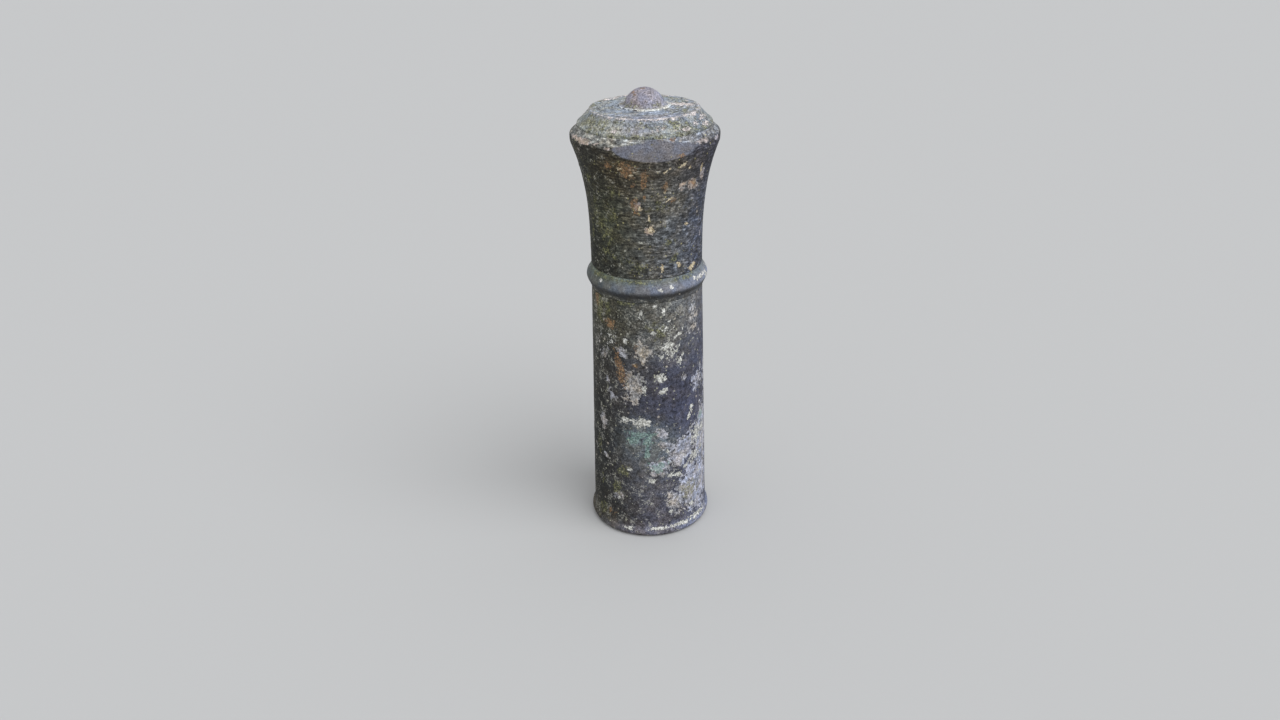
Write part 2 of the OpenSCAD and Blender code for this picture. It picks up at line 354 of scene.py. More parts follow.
class Effect:
    """The node groups, each built once for each kind of tree that it is used in."""

    @staticmethod
    def start(
        name: str, shading: bool, inputs: dict[str, str], outputs: dict[str, str]
    ) -> tuple[Canvas, dict[str, Socket], Node]:
        """Makes an empty group.

        Args:
            name: The group's name.
            shading: Whether it is for materials, and not for geometry.
            inputs: Names and socket types of its inputs.
            outputs: Names and socket types of its outputs.

        Returns:
            The canvas, the input sockets by name and the output node.
        """
        kind = "ShaderNodeTree" if shading else "GeometryNodeTree"
        tree = bpy.data.node_groups.new(name, kind)
        for way, sockets in (("INPUT", inputs), ("OUTPUT", outputs)):
            for label, socket_type in sockets.items():
                tree.interface.new_socket(label, in_out=way, socket_type=socket_type)
        canvas = Canvas(tree)
        given = canvas.place("NodeGroupInput")
        return canvas, {n: given.outputs[n] for n in inputs}, canvas.place("NodeGroupOutput")

    @staticmethod
    @cache
    def ragged_patch(shading: bool) -> bpy.types.NodeTree:
        """Builds the group that breaks a smooth field into a ragged patch and its rim.

        Args:
            shading: Whether it is for materials, and not for geometry.

        Returns:
            The group.
        """
        c, given, out = Effect.start(
            "ragged_patch" if shading else "ragged_patch_relief",
            shading,
            {"Field": FLOAT, "Vector": VECTOR, "Size": FLOAT, "Ragged": FLOAT, "Softness": FLOAT},
            {"Mask": FLOAT, "Rim": FLOAT},
        )
        breaks = [
            c.swing(c.noise(given["Vector"], Grain(c.times(given["Size"], share), *look)), amount)
            for share, look, amount in (
                (1.0, (3.0, 0.55), 1.9), (0.4, (3.0, 0.55), 1.5), (0.14, (2.0, 0.6), 0.45)
            )
        ]
        level = c.add(given["Field"], c.times(c.add(*breaks), given["Ragged"]))
        low = c.math("SUBTRACT", 0.5, given["Softness"])
        mask = c.step(level, low, c.math("ADD", 0.5, given["Softness"]))
        rim = c.math("SUBTRACT", c.step(level, 0.4, 0.48), mask, clamp=True)
        present = c.step(given["Field"], 0.0, 0.04)
        c.feed(out, {"Mask": c.times(mask, present), "Rim": c.times(rim, present)})
        return c.tree

    @staticmethod
    @cache
    def mottle() -> bpy.types.NodeTree:
        """Builds the group that varies a colour's lightness and hue on three scales.

        Returns:
            The group.
        """
        amounts = {name: FLOAT for name in (*MOTTLE, "Drift")}
        c, given, out = Effect.start(
            "mottle", True, {"Colour": COLOUR, "Vector": VECTOR} | amounts, {"Colour": COLOUR}
        )
        swings = [
            c.swing(c.noise(given["Vector"], grain), given[name]) for name, grain in MOTTLE.items()
        ]
        shaded = c.scaled(given["Colour"], c.math("MAXIMUM", c.add(1.0, *swings), 0.08))
        warm, cool = (
            c.mix(given["Drift"], shaded, light, "MULTIPLY") for light in (WARM_LIGHT, COOL_LIGHT)
        )
        hue = c.step(c.noise(given["Vector"], HUE_DRIFT), 0.38, 0.62)
        c.feed(out, {"Colour": c.mix(hue, cool, warm)})
        return c.tree

    @staticmethod
    @cache
    def flecks() -> bpy.types.NodeTree:
        """Builds the group that scatters small uneven spots, such as lichen and chips.

        Returns:
            The group.
        """
        c, given, out = Effect.start(
            "flecks", True, {"Vector": VECTOR, "Size": FLOAT, "Amount": FLOAT}, {"Mask": FLOAT}
        )
        vector, size = given["Vector"], given["Size"]
        jitter = c.place(
            "ShaderNodeTexNoise",
            {"Vector": vector, "Scale": c.math("DIVIDE", 2.2 * PER_METRE, size), "Detail": 2.0},
        ).outputs["Color"]
        shift = c.vector("SUBTRACT", {0: jitter, 1: (0.5, 0.5, 0.5)})
        moved = c.vector("ADD", {0: c.scaled(shift, c.times(size, 1.1 * MM)), 1: vector})
        cells = c.place(
            "ShaderNodeTexVoronoi",
            {"Vector": moved, "Scale": c.math("DIVIDE", 0.5 * PER_METRE, size)},
        )
        chance = c.place("ShaderNodeSeparateColor", {0: cells.outputs["Color"]}).outputs
        reach = c.add(0.09, c.times(chance[1], chance[1], 0.36))
        spot = c.rest(c.step(cells.outputs["Distance"], c.times(reach, 0.75), reach))
        crowd = c.step(c.noise(vector, CROWDING), 0.42, 0.58)
        share = c.times(given["Amount"], c.add(0.25, c.times(crowd, 1.7)))
        chosen = c.math("LESS_THAN", chance[0], share)
        c.feed(out, {"Mask": c.times(spot, chosen)})
        return c.tree


def new_material(name: str) -> tuple[Canvas, Node]:
    """Makes an empty material.

    Args:
        name: The material's name.

    Returns:
        Its canvas and its Principled BSDF.
    """
    material = bpy.data.materials.new(name)
    material.use_nodes = True
    return Canvas(material.node_tree), material.node_tree.nodes["Principled BSDF"]


class Coat:
    """A material whose colour, height and roughness are laid on in turn."""

    def __init__(self, name: str) -> None:
        """Makes the empty material of the name."""
        self.name = name
        self.c, self.shader = new_material(name)
        self.where = self.c.position()
        self.colour: Socket | Colour = UNDERCOAT
        self.height: Socket | float = 0.0
        self.roughness: Socket | float = 0.5

    def noise(self, grain: Grain, stretch: tuple[float, float, float] | None = None) -> Socket:
        """Returns a noise over the piece, with its axes stretched if asked."""
        where = self.c.stretch(self.where, stretch) if stretch else self.where
        return self.c.noise(where, grain)

    def mottled(self, colour: Socket | Colour, **amounts: float) -> Socket:
        """Varies a colour.

        Args:
            colour: The colour.
            **amounts: The mottle group's coarse, middle, fine and drift, each 0 if not given.

        Returns:
            The varied colour.
        """
        inputs = {"Colour": colour, "Vector": self.where}
        for name in (*MOTTLE, "Drift"):
            inputs[name] = amounts.get(name.lower(), 0.0)
        return self.c.group(Effect.mottle(), inputs).outputs["Colour"]

    def flecks(self, size: float, amount: float) -> Socket:
        """Returns a mask of small spots of a size in millimetres."""
        inputs = {"Vector": self.where, "Size": size, "Amount": amount}
        return self.c.group(Effect.flecks(), inputs).outputs["Mask"]

    def tint(self, mask: Socket, colour: Socket | Colour, strength: float = 1.0) -> None:
        """Colours the coat under a mask."""
        self.colour = self.c.mix(self.c.times(mask, strength), self.colour, colour)

    def shade(self, value: Socket, least: float = 0.0) -> None:
        """Lightens or darkens the coat by a value that stays at or above the least."""
        self.colour = self.c.scaled(self.colour, self.c.math("MAXIMUM", value, least))

    def lift(self, *terms: Socket) -> None:
        """Raises the coat by the sum of the terms."""
        self.height = self.c.add(self.height, *terms)

    def roughen(self, *terms: Socket) -> None:
        """Adds the terms to the roughness."""
        self.roughness = self.c.add(self.roughness, *terms)

    def close(self, bump: float, depth: float, roughest: float) -> bpy.types.Material:
        """Feeds the shader with what was laid.

        Args:
            bump: Strength of the bumps.
            depth: How deep they are in metres.
            roughest: The highest roughness.

        Returns:
            The material.
        """
        relief = self.c.place(
            "ShaderNodeBump", {"Strength": bump, "Distance": depth, "Height": self.height}
        )
        rough = self.c.math("MINIMUM", self.roughness, roughest)
        self.c.feed(
            self.shader,
            {"Base Color": self.colour, "Roughness": rough, "Normal": relief.outputs[0]},
        )
        return bpy.data.materials[self.name]


class IronCoat(Coat):
    """A coat on a turned skin, with the tones and grains that its layers share."""

    def __init__(self, look: "WeatheredIron") -> None:
        """Makes the empty material of a look, and its shared tones and grains."""
        super().__init__(look.name)
        self.look = look
        # The broad tone holds the paint's own tone with painted light and shade mixed in.
        self.tone_and_light = self.c.place("ShaderNodeAttribute", attribute_name="tone_and_light").outputs["Color"]
        self.pores = self.noise(PORES)
        self.bumps = self.noise(BUMPS)
        self.spots = self.c.step(self.noise(SPOTS), 0.58, 0.66)

    def patches(self, layer: Layer, breakup: Breakup | None = None) -> tuple[Socket, Socket]:
        """Returns the mask and the rim of a layer's patches."""
        return self.c.patches(self.where, layer, breakup or BREAKUPS[layer])

    def two_tone(self, grain: Grain, low: float, high: float, a: Colour, b: Colour) -> Socket:
        """Returns colour a where a noise is low, and b where it is high."""
        return self.c.mix(self.c.step(self.noise(grain), low, high), a, b)

    def lay_paint(self) -> None:
        """Lays the mottled paint in its broad tones, with the painted light and shade that they
        carry.
        """
        c, look = self.c, self.look
        self.colour = self.mottled(
            self.tone_and_light, coarse=look.coarse, middle=look.middle, drift=look.drift
        )
        self.height = c.add(c.times(self.pores, 0.14), c.times(self.bumps, 0.35))
        self.roughness = c.add(0.66, c.swing(self.bumps, 0.35))

    def rub_paint(self) -> None:
        """Rubs the paint through in small spots, and opens dark gaps in it."""
        c = self.c
        scuff = c.attribute("scuff")
        spotty = c.add(self.noise(RUBS), c.swing(self.noise(RUB_DRIFT), 0.7))
        start = c.math("SUBTRACT", 0.74, c.times(scuff, 0.26))
        rubbed = c.step(spotty, start, c.add(start, 0.03))
        bright = c.step(spotty, c.add(start, 0.07), c.add(start, 0.1))
        gaps = c.times(c.step(self.noise(GAPS, stretch=(1.0, 1.0, 1.4)), 0.54, 0.6), scuff)
        self.tint(rubbed, c.scaled(self.tone_and_light, 1.75), strength=0.5)
        self.tint(bright, RUBBED_BRIGHT, strength=0.55)
        self.tint(gaps, UNDERCOAT, strength=self.look.wear)
        self.lift(c.times(rubbed, -0.12), c.times(gaps, -0.2))

    def score_paint(self) -> None:
        """Adds the ripples, drips and turned scratches that this finish has; the ripples' light and
        dark bands and groove lines are painted shade of their relief.
        """
        c, look = self.c, self.look
        if look.ripple:
            ripples = self.noise(RIPPLES, stretch=(0.3, 0.3, 1.0))
            crest = c.math("ABSOLUTE", c.math("SUBTRACT", ripples, 0.5))
            line = c.rest(c.step(crest, 0.0, 0.045))
            # The ripples' light and dark bands and the dark lines along their grooves are painted
            # shade of the ripple relief.
            swing = c.swing(ripples, 7.0 * look.ripple)
            self.shade(c.add(1.0, swing, c.times(line, -0.7 * look.ripple)), least=0.2)
            self.lift(c.times(ripples, 1.6 * look.ripple), c.times(line, -0.5 * look.ripple))
        if look.streak:
            drips = self.noise(DRIPS, stretch=(1.0, 1.0, 0.2))
            self.shade(c.add(1.0, c.swing(drips, look.streak)))
        if look.rings:
            facing = c.place("ShaderNodeNewGeometry").outputs["Normal"]
            upward = c.place("ShaderNodeSeparateXYZ", {0: facing}).outputs[2]
            radius = c.vector("LENGTH", {0: c.stretch(self.where, (1.0, 1.0, 0.0))}, "Value")
            across = c.place(
                "ShaderNodeSeparateXYZ", {0: c.stretch(self.where, (0.14, 0.14, 0.0))}
            ).outputs
            turned = c.place("ShaderNodeCombineXYZ", {0: radius, 1: across[0], 2: across[1]})
            swing = c.swing(c.noise(turned.outputs[0], SCRATCHES), look.rings)
            self.shade(c.add(1.0, c.times(c.step(upward, 0.9, 0.97), swing)), least=0.3)

    def wear_flat(self) -> None:
        """Smooths what was worn flat."""
        c = self.c
        worn = c.attribute("worn")
        self.tint(worn, self.mottled(self.look.worn_colour, coarse=0.7, middle=0.8, drift=0.5))
        self.lift(c.times(worn, self.bumps, -0.25))
        self.roughen(c.times(worn, -0.12))

    def bare_iron(self) -> None:
        """Flakes the paint off down to bright iron, and breaks the edge of the flakes into a pale
        edge and a painted shadow.
        """
        c = self.c
        breakup = Breakup(self.look.patch_size, self.look.ragged, 0.03)
        bare, rim = self.patches(Layer.BARE, breakup)
        hue = c.mix(c.attribute("warmth"), self.look.bare_cool, self.look.bare_warm)
        metal = self.mottled(hue, coarse=1.8, middle=3.8, drift=0.6)
        left = c.step(self.noise(PAINT_LEFT), 0.55, 0.59)
        metal = c.mix(c.times(left, 0.7), metal, c.mix(0.18, self.tone_and_light, self.look.bare_warm))
        metal = c.mix(c.times(self.spots, 0.5), metal, BRIGHT_METAL)
        broken = c.step(self.noise(RIM_BREAKS), 0.47, 0.55)
        self.tint(bare, metal, strength=0.94)
        self.tint(c.times(rim, broken), FLAKE_EDGE, strength=0.65)
        # Painted shadow along the rest of the flake's edge.
        self.tint(c.times(rim, c.rest(broken)), EDGE_SHADOW, strength=0.6)
        self.lift(c.times(bare, -0.35), c.times(bare, left, 0.15), c.times(rim, 0.22))

    def lay_rust(self) -> None:
        """Lays the rust with its pale spots."""
        c = self.c
        rust, _ = self.patches(Layer.RUST)
        orange = self.two_tone(RUST_GRAIN, 0.4, 0.62, RUST_DARK, RUST_LIGHT)
        self.tint(rust, c.mix(c.times(self.spots, 0.7), orange, RUST_SPOT), strength=0.68)

    def lay_verdigris(self) -> None:
        """Lays the green stain with its brighter edge."""
        c = self.c
        green, rim = self.patches(Layer.VERDIGRIS)
        stain = self.two_tone(VERDIGRIS_GRAIN, 0.4, 0.6, VERDIGRIS_DARK, VERDIGRIS_LIGHT)
        self.tint(rim, VERDIGRIS_HALO, strength=0.5)
        self.tint(green, c.mix(c.times(rim, 0.7), stain, VERDIGRIS_EDGE), strength=0.6)

    def lay_moss(self) -> None:
        """Lays the moss, which stands up from the paint."""
        c = self.c
        moss, _ = self.patches(Layer.MOSS)
        self.tint(moss, self.two_tone(MOSS_GRAIN, 0.46, 0.62, MOSS_DARK, MOSS_LIGHT), 0.58)
        self.lift(c.times(moss, self.pores, 0.6))
        self.roughen(c.times(moss, 0.2))

    def lay_chalk(self) -> None:
        """Lays the pale, chalky patches with a painted shadow round them."""
        c = self.c
        pale, rim = self.patches(Layer.PALE)
        tones_and_light = self.look.chalk_dark, self.look.chalk_light
        chalk = self.two_tone(CHALK_GRAIN, 0.36, 0.62, *tones_and_light)
        # Painted shadow round the chalky patch.
        self.tint(rim, EDGE_SHADOW, strength=0.5)
        self.tint(pale, chalk, strength=0.92)
        self.lift(c.times(pale, 0.12))
        self.roughen(c.times(pale, 0.12))

    def sprinkle(self) -> None:
        """Sprinkles lichen, chips and pits over everything."""
        c = self.c
        self.tint(self.flecks(2.6, self.look.lichen), self.look.lichen_colour, strength=0.7)
        self.tint(self.flecks(4.6, self.look.chips), CHIP, strength=0.62)
        pits = self.flecks(1.7, self.look.pits)
        self.tint(pits, PIT, strength=0.5)
        self.lift(c.times(pits, -0.3))


@dataclass(frozen=True)
class WeatheredIron:
    """Old painted cast iron, with the layers that a Layer names lying on its broad tones."""

    name: str
    slot: str
    gain: float = 1.38
    coarse: float = 1.2
    middle: float = 2.9
    fine: float = 3.2
    drift: float = 0.5
    lichen: float = 0.1
    lichen_colour: Colour = srgb(170, 170, 150)
    chips: float = 0.05
    pits: float = 0.22
    patch_size: float = 16.0
    ragged: float = 0.75
    ripple: float = 0.0
    bare_cool: Colour = srgb(152, 158, 180)
    bare_warm: Colour = srgb(152, 144, 128)
    worn_colour: Colour = srgb(108, 108, 115)
    chalk_dark: Colour = srgb(138, 137, 130)
    chalk_light: Colour = srgb(212, 211, 208)
    streak: float = 0.0
    rings: float = 0.0
    wear: float = 0.75
    specular: float = 0.2

    def material(self) -> bpy.types.Material:
        """Builds the material.

        Returns:
            The material.
        """
        coat = IronCoat(self)
        for lay in (
            coat.lay_paint, coat.rub_paint, coat.score_paint, coat.wear_flat, coat.bare_iron,
            coat.lay_rust, coat.lay_verdigris, coat.lay_moss, coat.lay_chalk, coat.sprinkle,
        ):
            lay()
        coat.colour = coat.mottled(coat.c.scaled(coat.colour, self.gain), fine=self.fine)
        coat.shader.inputs["Specular IOR Level"].default_value = self.specular
        return coat.close(bump=0.85, depth=0.0016, roughest=0.97)


class Texture(Enum):
    """How a plain finish's surface is broken up, as the stretch of its lines along each axis."""

    TURNED = (0.12, 0.12, 1.0)
    ROLLED = (1.0, 0.2, 1.0)
    PRESSED = (1.0, 1.0, 1.0)


@dataclass(frozen=True)
class PlainFinish:
    """A finish of the hidden ironmongery and packings."""

    name: str
    slot: str
    colour: Colour
    stain: Colour
    metallic: float
    roughness: float
    texture: Texture
    stained: float = 0.5

    def material(self) -> bpy.types.Material:
        """Builds the material.

        Returns:
            The material.
        """
        coat = Coat(self.name)
        c = coat.c
        lines = coat.noise(TOOL_LINES, self.texture.value)
        start = 0.62 - 0.2 * self.stained
        stain = c.step(coat.noise(STAINS), start, start + 0.13)
        pits = coat.flecks(1.4, 0.25 * self.stained)
        coat.colour = coat.mottled(self.colour, coarse=0.3, middle=0.6, fine=0.5, drift=0.25)
        coat.tint(stain, self.stain, strength=0.8)
        coat.tint(pits, STEEL_PIT, strength=0.5)
        coat.roughness = c.add(self.roughness, c.swing(lines, 0.25), c.times(stain, 0.25))
        coat.height = c.add(c.times(lines, 0.3), c.times(stain, 0.4), c.times(pits, -1.0))
        if self.metallic:
            metal = c.times(c.rest(c.times(stain, 0.7)), self.metallic)
            c.feed(coat.shader, {"Metallic": metal})
        return coat.close(bump=0.5, depth=0.0006, roughest=0.95)


@dataclass(frozen=True)
class Relief:
    """How far, in millimetres, each effect moves a skin in or out."""

    undulation: float = 0.5
    grain: float = 0.22
    ripple: float = 0.0
    flake: float = 0.5
    crust: float = 0.5
    fuzz: float = 0.9
    chalk: float = 0.3
    patch_size: float = 16.0
    ragged: float = 0.75

    def tree(self, name: str) -> bpy.types.NodeTree:
        """Builds the geometry tree that moves the skin along its normals.

        Args:
            name: The tree's name.

        Returns:
            The tree.
        """
        shape = {"Geometry": "NodeSocketGeometry"}
        c, given, out = Effect.start(name, False, shape, shape)
        where = c.position()
        grain = c.noise(where, Grain(4.5, 3.0, 0.6))
        move = c.add(
            c.swing(c.noise(where, Grain(75.0)), 2.0 * self.undulation),
            c.swing(c.noise(where, Grain(17.0, 3.0)), self.undulation),
            c.swing(grain, 2.0 * self.grain),
        )
        if self.ripple:
            ripples = c.noise(c.stretch(where, (0.22, 0.22, 1.0)), Grain(5.0))
            move = c.add(move, c.swing(ripples, 2.0 * self.ripple))
        bare, rim = c.patches(where, Layer.BARE, Breakup(self.patch_size, self.ragged, 0.035))
        crust, fuzz, chalk = (
            c.patches(where, layer, replace(BREAKUPS[layer], softness=softness))[0]
            for layer, softness in ((Layer.RUST, 0.12), (Layer.MOSS, 0.2), (Layer.PALE, 0.05))
        )
        move = c.add(
            move,
            c.times(bare, -self.flake),
            c.times(rim, 0.4 * self.flake),
            c.times(crust, grain, self.crust),
            c.times(fuzz, grain, self.fuzz),
            c.times(chalk, self.chalk),
        )
        still = c.rest(c.times(c.attribute("worn"), 0.75))
        amount = c.times(move, c.attribute("skin"), still, MM)
        normal = c.place("GeometryNodeInputNormal").outputs[0]
        moved = c.place(
            "GeometryNodeSetPosition",
            {"Geometry": given["Geometry"], "Offset": c.scaled(normal, amount)},
        )
        c.feed(out, {"Geometry": moved.outputs[0]})
        return c.tree


def arc(centre: Point, radius: float, start: float, end: float, count: int = 12) -> list[Point]:
    """Points of an arc in a section.

    Args:
        centre: Its centre, as (radius from the axis, height), in millimetres.
        radius: Its radius in millimetres.
        start: The angle of its first point in degrees.
        end: The angle of its last point in degrees.
        count: How many steps it has.

    Returns:
        The points.
    """
    angles = np.radians(np.linspace(start, end, count + 1))
    return [(centre[0] + radius * math.cos(a), centre[1] + radius * math.sin(a)) for a in angles]


def refine(points: list[Point], step: float) -> np.ndarray:
    """Divides a section's long lines so that no step is longer than asked.

    Args:
        points: The section's points.
        step: The longest step in millimetres.

    Returns:
        The points, as rows of radius and height.
    """
    rows = [np.array(points[0], float)]
    for a, b in zip(points, points[1:]):
        start, end = np.array(a, float), np.array(b, float)
        count = max(1, math.ceil(np.linalg.norm(end - start) / step))
        rows += [start + (end - start) * (i + 1) / count for i in range(count)]
    return np.array(rows)


WORN_FROM = 0.4
WORN_OVER = 0.5
STILL_EDGE = 2.5
GROUND_WEIGHT = 0.12
NEUTRAL_WEIGHT = 0.2
SHARP_ANGLE = 48.0


def closed_grid(name: str, points: np.ndarray) -> bpy.types.Mesh:
    """Makes a mesh of four-sided faces on a grid of points that closes both ways.

    Args:
        name: The mesh's name.
        points: The points in millimetres, by row, column and axis.

    Returns:
        The mesh.
    """
    rows, count = points.shape[:2]
    i, j = np.meshgrid(np.arange(rows), np.arange(count), indexing="ij")
    after, beside = (i + 1) % rows, (j + 1) % count
    faces = np.stack(
        [i * count + j, i * count + beside, after * count + beside, after * count + j], axis=-1
    )
    mesh = bpy.data.meshes.new(name)
    mesh.vertices.add(rows * count)
    mesh.vertices.foreach_set("co", (points * MM).astype(np.float32).ravel())
    mesh.loops.add(faces.size)
    mesh.loops.foreach_set("vertex_index", faces.astype(np.int32).ravel())
    mesh.polygons.add(rows * count)
    mesh.polygons.foreach_set("loop_start", np.arange(0, faces.size, 4, dtype=np.int32))
    mesh.update(calc_edges=True)
    return mesh


def across(azimuth: np.ndarray, middle: float, radius: np.ndarray) -> np.ndarray:
    """Returns how far round the skin each point lies from a middle, in millimetres."""
    return np.radians((azimuth - middle + 180) % 360 - 180) * radius


@dataclass
class TurnedPiece:
    """A closed body turned from a section, whose outer skin is fine enough to carry relief.

    The sections run in millimetres above the piece's base height: outer upwards or inwards
    over what shows, and inner back to its start.
    """

    name: str
    node: str
    finish: WeatheredIron
    relief: Relief
    around: int
    step: float
    wear: Wear
    washes: list[Wash]
    ground: Colour
    by_length: bool = False
    closed_top: bool = False

    def outer(self) -> list[Point]:
        """Returns the section of the outer skin."""
        raise NotImplementedError

    def inner(self) -> list[Point]:
        """Returns the section of the hidden faces."""
        raise NotImplementedError

    def trimmed(self, radius: np.ndarray, height: np.ndarray, azimuth: np.ndarray) -> np.ndarray:
        """Returns the skin's radius after what has been worn off it."""
        return radius

    def base(self) -> float:
        """Returns the height, in millimetres, that the sections start from."""
        return 0.0

    def build(self) -> bpy.types.Object:
        """Builds the piece, gives it its relief and finish, and puts it on its body.

        Returns:
            The finished object.
        """
        skin_rows = refine(self.outer(), self.step)
        section = np.vstack([skin_rows, np.array(self.inner(), float)])
        rows, count = len(section), self.around
        azimuth = np.tile(np.linspace(0, 2 * math.pi, count, endpoint=False), (rows, 1))
        radius = np.tile(section[:, :1], (1, count))
        height = np.tile(section[:, 1:] + self.base(), (1, count))
        shown = np.arange(rows) < len(skin_rows)
        worn_radius = self.trimmed(radius, height, azimuth)
        worn = np.clip((radius - worn_radius - WORN_FROM) / WORN_OVER, 0, 1) * shown[:, None]
        radius = np.where(shown[:, None], worn_radius, radius)
        lengths = np.concatenate([[0], np.cumsum(np.hypot(*np.diff(section, axis=0).T))])
        reach = lengths[len(skin_rows) - 1]
        ends = lengths if self.closed_top else np.minimum(lengths, reach - lengths)
        skin = np.where(shown, np.clip(ends / STILL_EDGE, 0.0, 1), 0)
        run = np.tile(lengths[:, None], (1, count)) if self.by_length else height
        places = [radius * np.sin(azimuth), -radius * np.cos(azimuth), height]
        mesh = closed_grid(self.name, np.stack(places, axis=-1))
        self.write(mesh, "skin", np.tile(skin[:, None], (1, count)))
        self.write(mesh, "worn", worn)
        self.paint(mesh, np.degrees(azimuth), run, radius)
        obj = bpy.data.objects.new(self.name, mesh)
        bpy.context.scene.collection.objects.link(obj)
        self.freeze(obj)
        obj.data.materials.append(self.finish.material())
        return self.settle(obj)

    @staticmethod
    def write(mesh: bpy.types.Mesh, name: str, values: np.ndarray) -> None:
        """Writes one value for each point of the mesh as a named attribute."""
        layer = mesh.attributes.new(name, "FLOAT", "POINT")
        layer.data.foreach_set("value", values.astype(np.float32).ravel())

    def paint(
        self, mesh: bpy.types.Mesh, azimuth: np.ndarray, run: np.ndarray, radius: np.ndarray
    ) -> None:
        """Writes the fields of the marks, their warmth, and the broad tones of the paint, which
        carry painted light and shade as well.

        Args:
            mesh: The mesh to write on.
            azimuth: Degrees from the front of each point, 0 to 360.
            run: Height, or way along the section, of each point.
            radius: Distance of each point from the axis in millimetres.
        """
        heat, weight = np.zeros(azimuth.shape), np.full(azimuth.shape, NEUTRAL_WEIGHT)
        for layer in Layer:
            total = np.zeros(azimuth.shape)
            for mark in self.wear.get(layer, []):
                value = self.field_of(mark, azimuth, run, radius)
                total = np.maximum(total, value)
                if layer is Layer.BARE:
                    heat += value * (mark.warmth - 0.5)
                    weight += value
            self.write(mesh, layer.value, total)
        self.write(mesh, "warmth", np.clip(0.5 + heat / weight, 0, 1))
        total = np.full(azimuth.shape, GROUND_WEIGHT)
        tones_and_light = total[..., None] * np.array(self.ground)
        scuff = total * 0.5
        for wash in self.washes:
            aside = across(azimuth, wash.azimuth, radius) / wash.reach_width
            share = np.exp(-0.5 * (aside**2 + ((run - wash.run) / wash.reach_height) ** 2))
            tones_and_light += share[..., None] * np.array(wash.colour)
            total += share
            scuff += share * wash.scuff
        self.write(mesh, "scuff", scuff / total)
        # The broad tone written here holds the paint's own tone with painted light and shade mixed
        # in.
        layer = mesh.attributes.new("tone_and_light", "FLOAT_COLOR", "POINT")
        layer.data.foreach_set("color", (tones_and_light / total[..., None]).astype(np.float32).ravel())

    @staticmethod
    def field_of(
        mark: Mark, azimuth: np.ndarray, run: np.ndarray, radius: np.ndarray
    ) -> np.ndarray:
        """Makes the smooth field of one mark.

        Args:
            mark: The mark.
            azimuth: Degrees from the front of each point.
            run: Height, or way along the section, of each point.
            radius: Distance of each point from the axis in millimetres.

        Returns:
            The field: one half of the mark's strength at its edge, and all of it well inside.
        """
        aside, along = across(azimuth, mark.azimuth, radius), run - mark.run
        c, s = math.cos(math.radians(mark.slant)), math.sin(math.radians(mark.slant))
        u, v = aside * c + along * s, along * c - aside * s
        distance = np.hypot(u / mark.half_width, v / mark.half_height)
        small = 12.0
        steep = 0.5 * math.sqrt(max(1.0, min(mark.half_width, mark.half_height) / small))
        return mark.strength * np.clip(0.5 + (1 - distance) * steep, 0, 1)

    def freeze(self, obj: bpy.types.Object) -> None:
        """Applies the relief and smooths the shading.

        Args:
            obj: The piece.
        """
        modifier = obj.modifiers.new("relief", "NODES")
        modifier.node_group = self.relief.tree(f"{self.name}_relief")
        depsgraph = bpy.context.evaluated_depsgraph_get()
        final = bpy.data.meshes.new_from_object(
            obj.evaluated_get(depsgraph), preserve_all_data_layers=True, depsgraph=depsgraph
        )
        obj.modifiers.clear()
        obj.data = final
        weld(final)
        final.polygons.foreach_set("use_smooth", np.ones(len(final.polygons), bool))
        final.set_sharp_from_angle(angle=math.radians(SHARP_ANGLE))

    def settle(self, obj: bpy.types.Object) -> bpy.types.Object:
        """Puts the piece on its body in place of its CAD node, and reports it.

        Args:
            obj: The piece.

        Returns:
            The piece.
        """
        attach(obj, BODY)
        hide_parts(self.node)
        log.info("%s: %d faces, in place of %s", obj.name, len(obj.data.polygons), self.node)
        return obj


def weld(mesh: bpy.types.Mesh) -> None:
    """Joins the points that meet on the axis, and drops the faces that this closes up.

    Args:
        mesh: The mesh.
    """
    if not any(math.hypot(v.co.x, v.co.y) < 1e-6 for v in mesh.vertices):
        return
    work = bmesh.new()
    work.from_mesh(mesh)
    bmesh.ops.remove_doubles(work, verts=work.verts, dist=1e-7)
    bmesh.ops.dissolve_degenerate(work, edges=work.edges, dist=1e-8)
    work.to_mesh(mesh)
    work.free()


USUAL_RADIUS = 120.0
HIDDEN = (84.0, 276.0)
BACK = (170.0, 190.0)


def scattered(front: list[Mark], seed: int, copies: float = 1.0) -> list[Mark]:
    """Repeats the kinds of patch that the front has over the sides and back.

    Args:
        front: The patches of the front.
        seed: Seed of the places, so that they are the same each time.
        copies: How many of each there are.

    Returns:
        The new patches.
    """
    dice = np.random.default_rng(seed)
    made = []
    for mark in front:
        for _ in range(int(copies) + (dice.random() < copies % 1)):
            margin = math.degrees(mark.half_width / USUAL_RADIUS)
            low, high = HIDDEN[0] + margin, HIDDEN[1] - margin
            if low >= high:
                low, high = BACK
            made.append(
                replace(
                    mark,
                    azimuth=float(dice.uniform(low, high)),
                    run=mark.run + float(dice.uniform(-18, 18)),
                    half_width=mark.half_width * float(dice.uniform(0.7, 1.2)),
                    half_height=mark.half_height * float(dice.uniform(0.7, 1.2)),
                    slant=float(dice.uniform(-30, 30)),
                    warmth=float(dice.uniform(0.1, 0.9)),
                )
            )
    return made


def all_round(wear: Wear, seed: int, copies: float = 1.0) -> Wear:
    """Returns the wear of the front with its scattered copies on the sides and back."""
    return {
        layer: front + scattered(front, seed + i, copies)
        for i, (layer, front) in enumerate(wear.items())
    }


def levels(node: str) -> tuple[float, float]:
    """Returns the lowest and highest level of a CAD node in millimetres."""
    low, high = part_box(node)
    return low.z / MM, high.z / MM


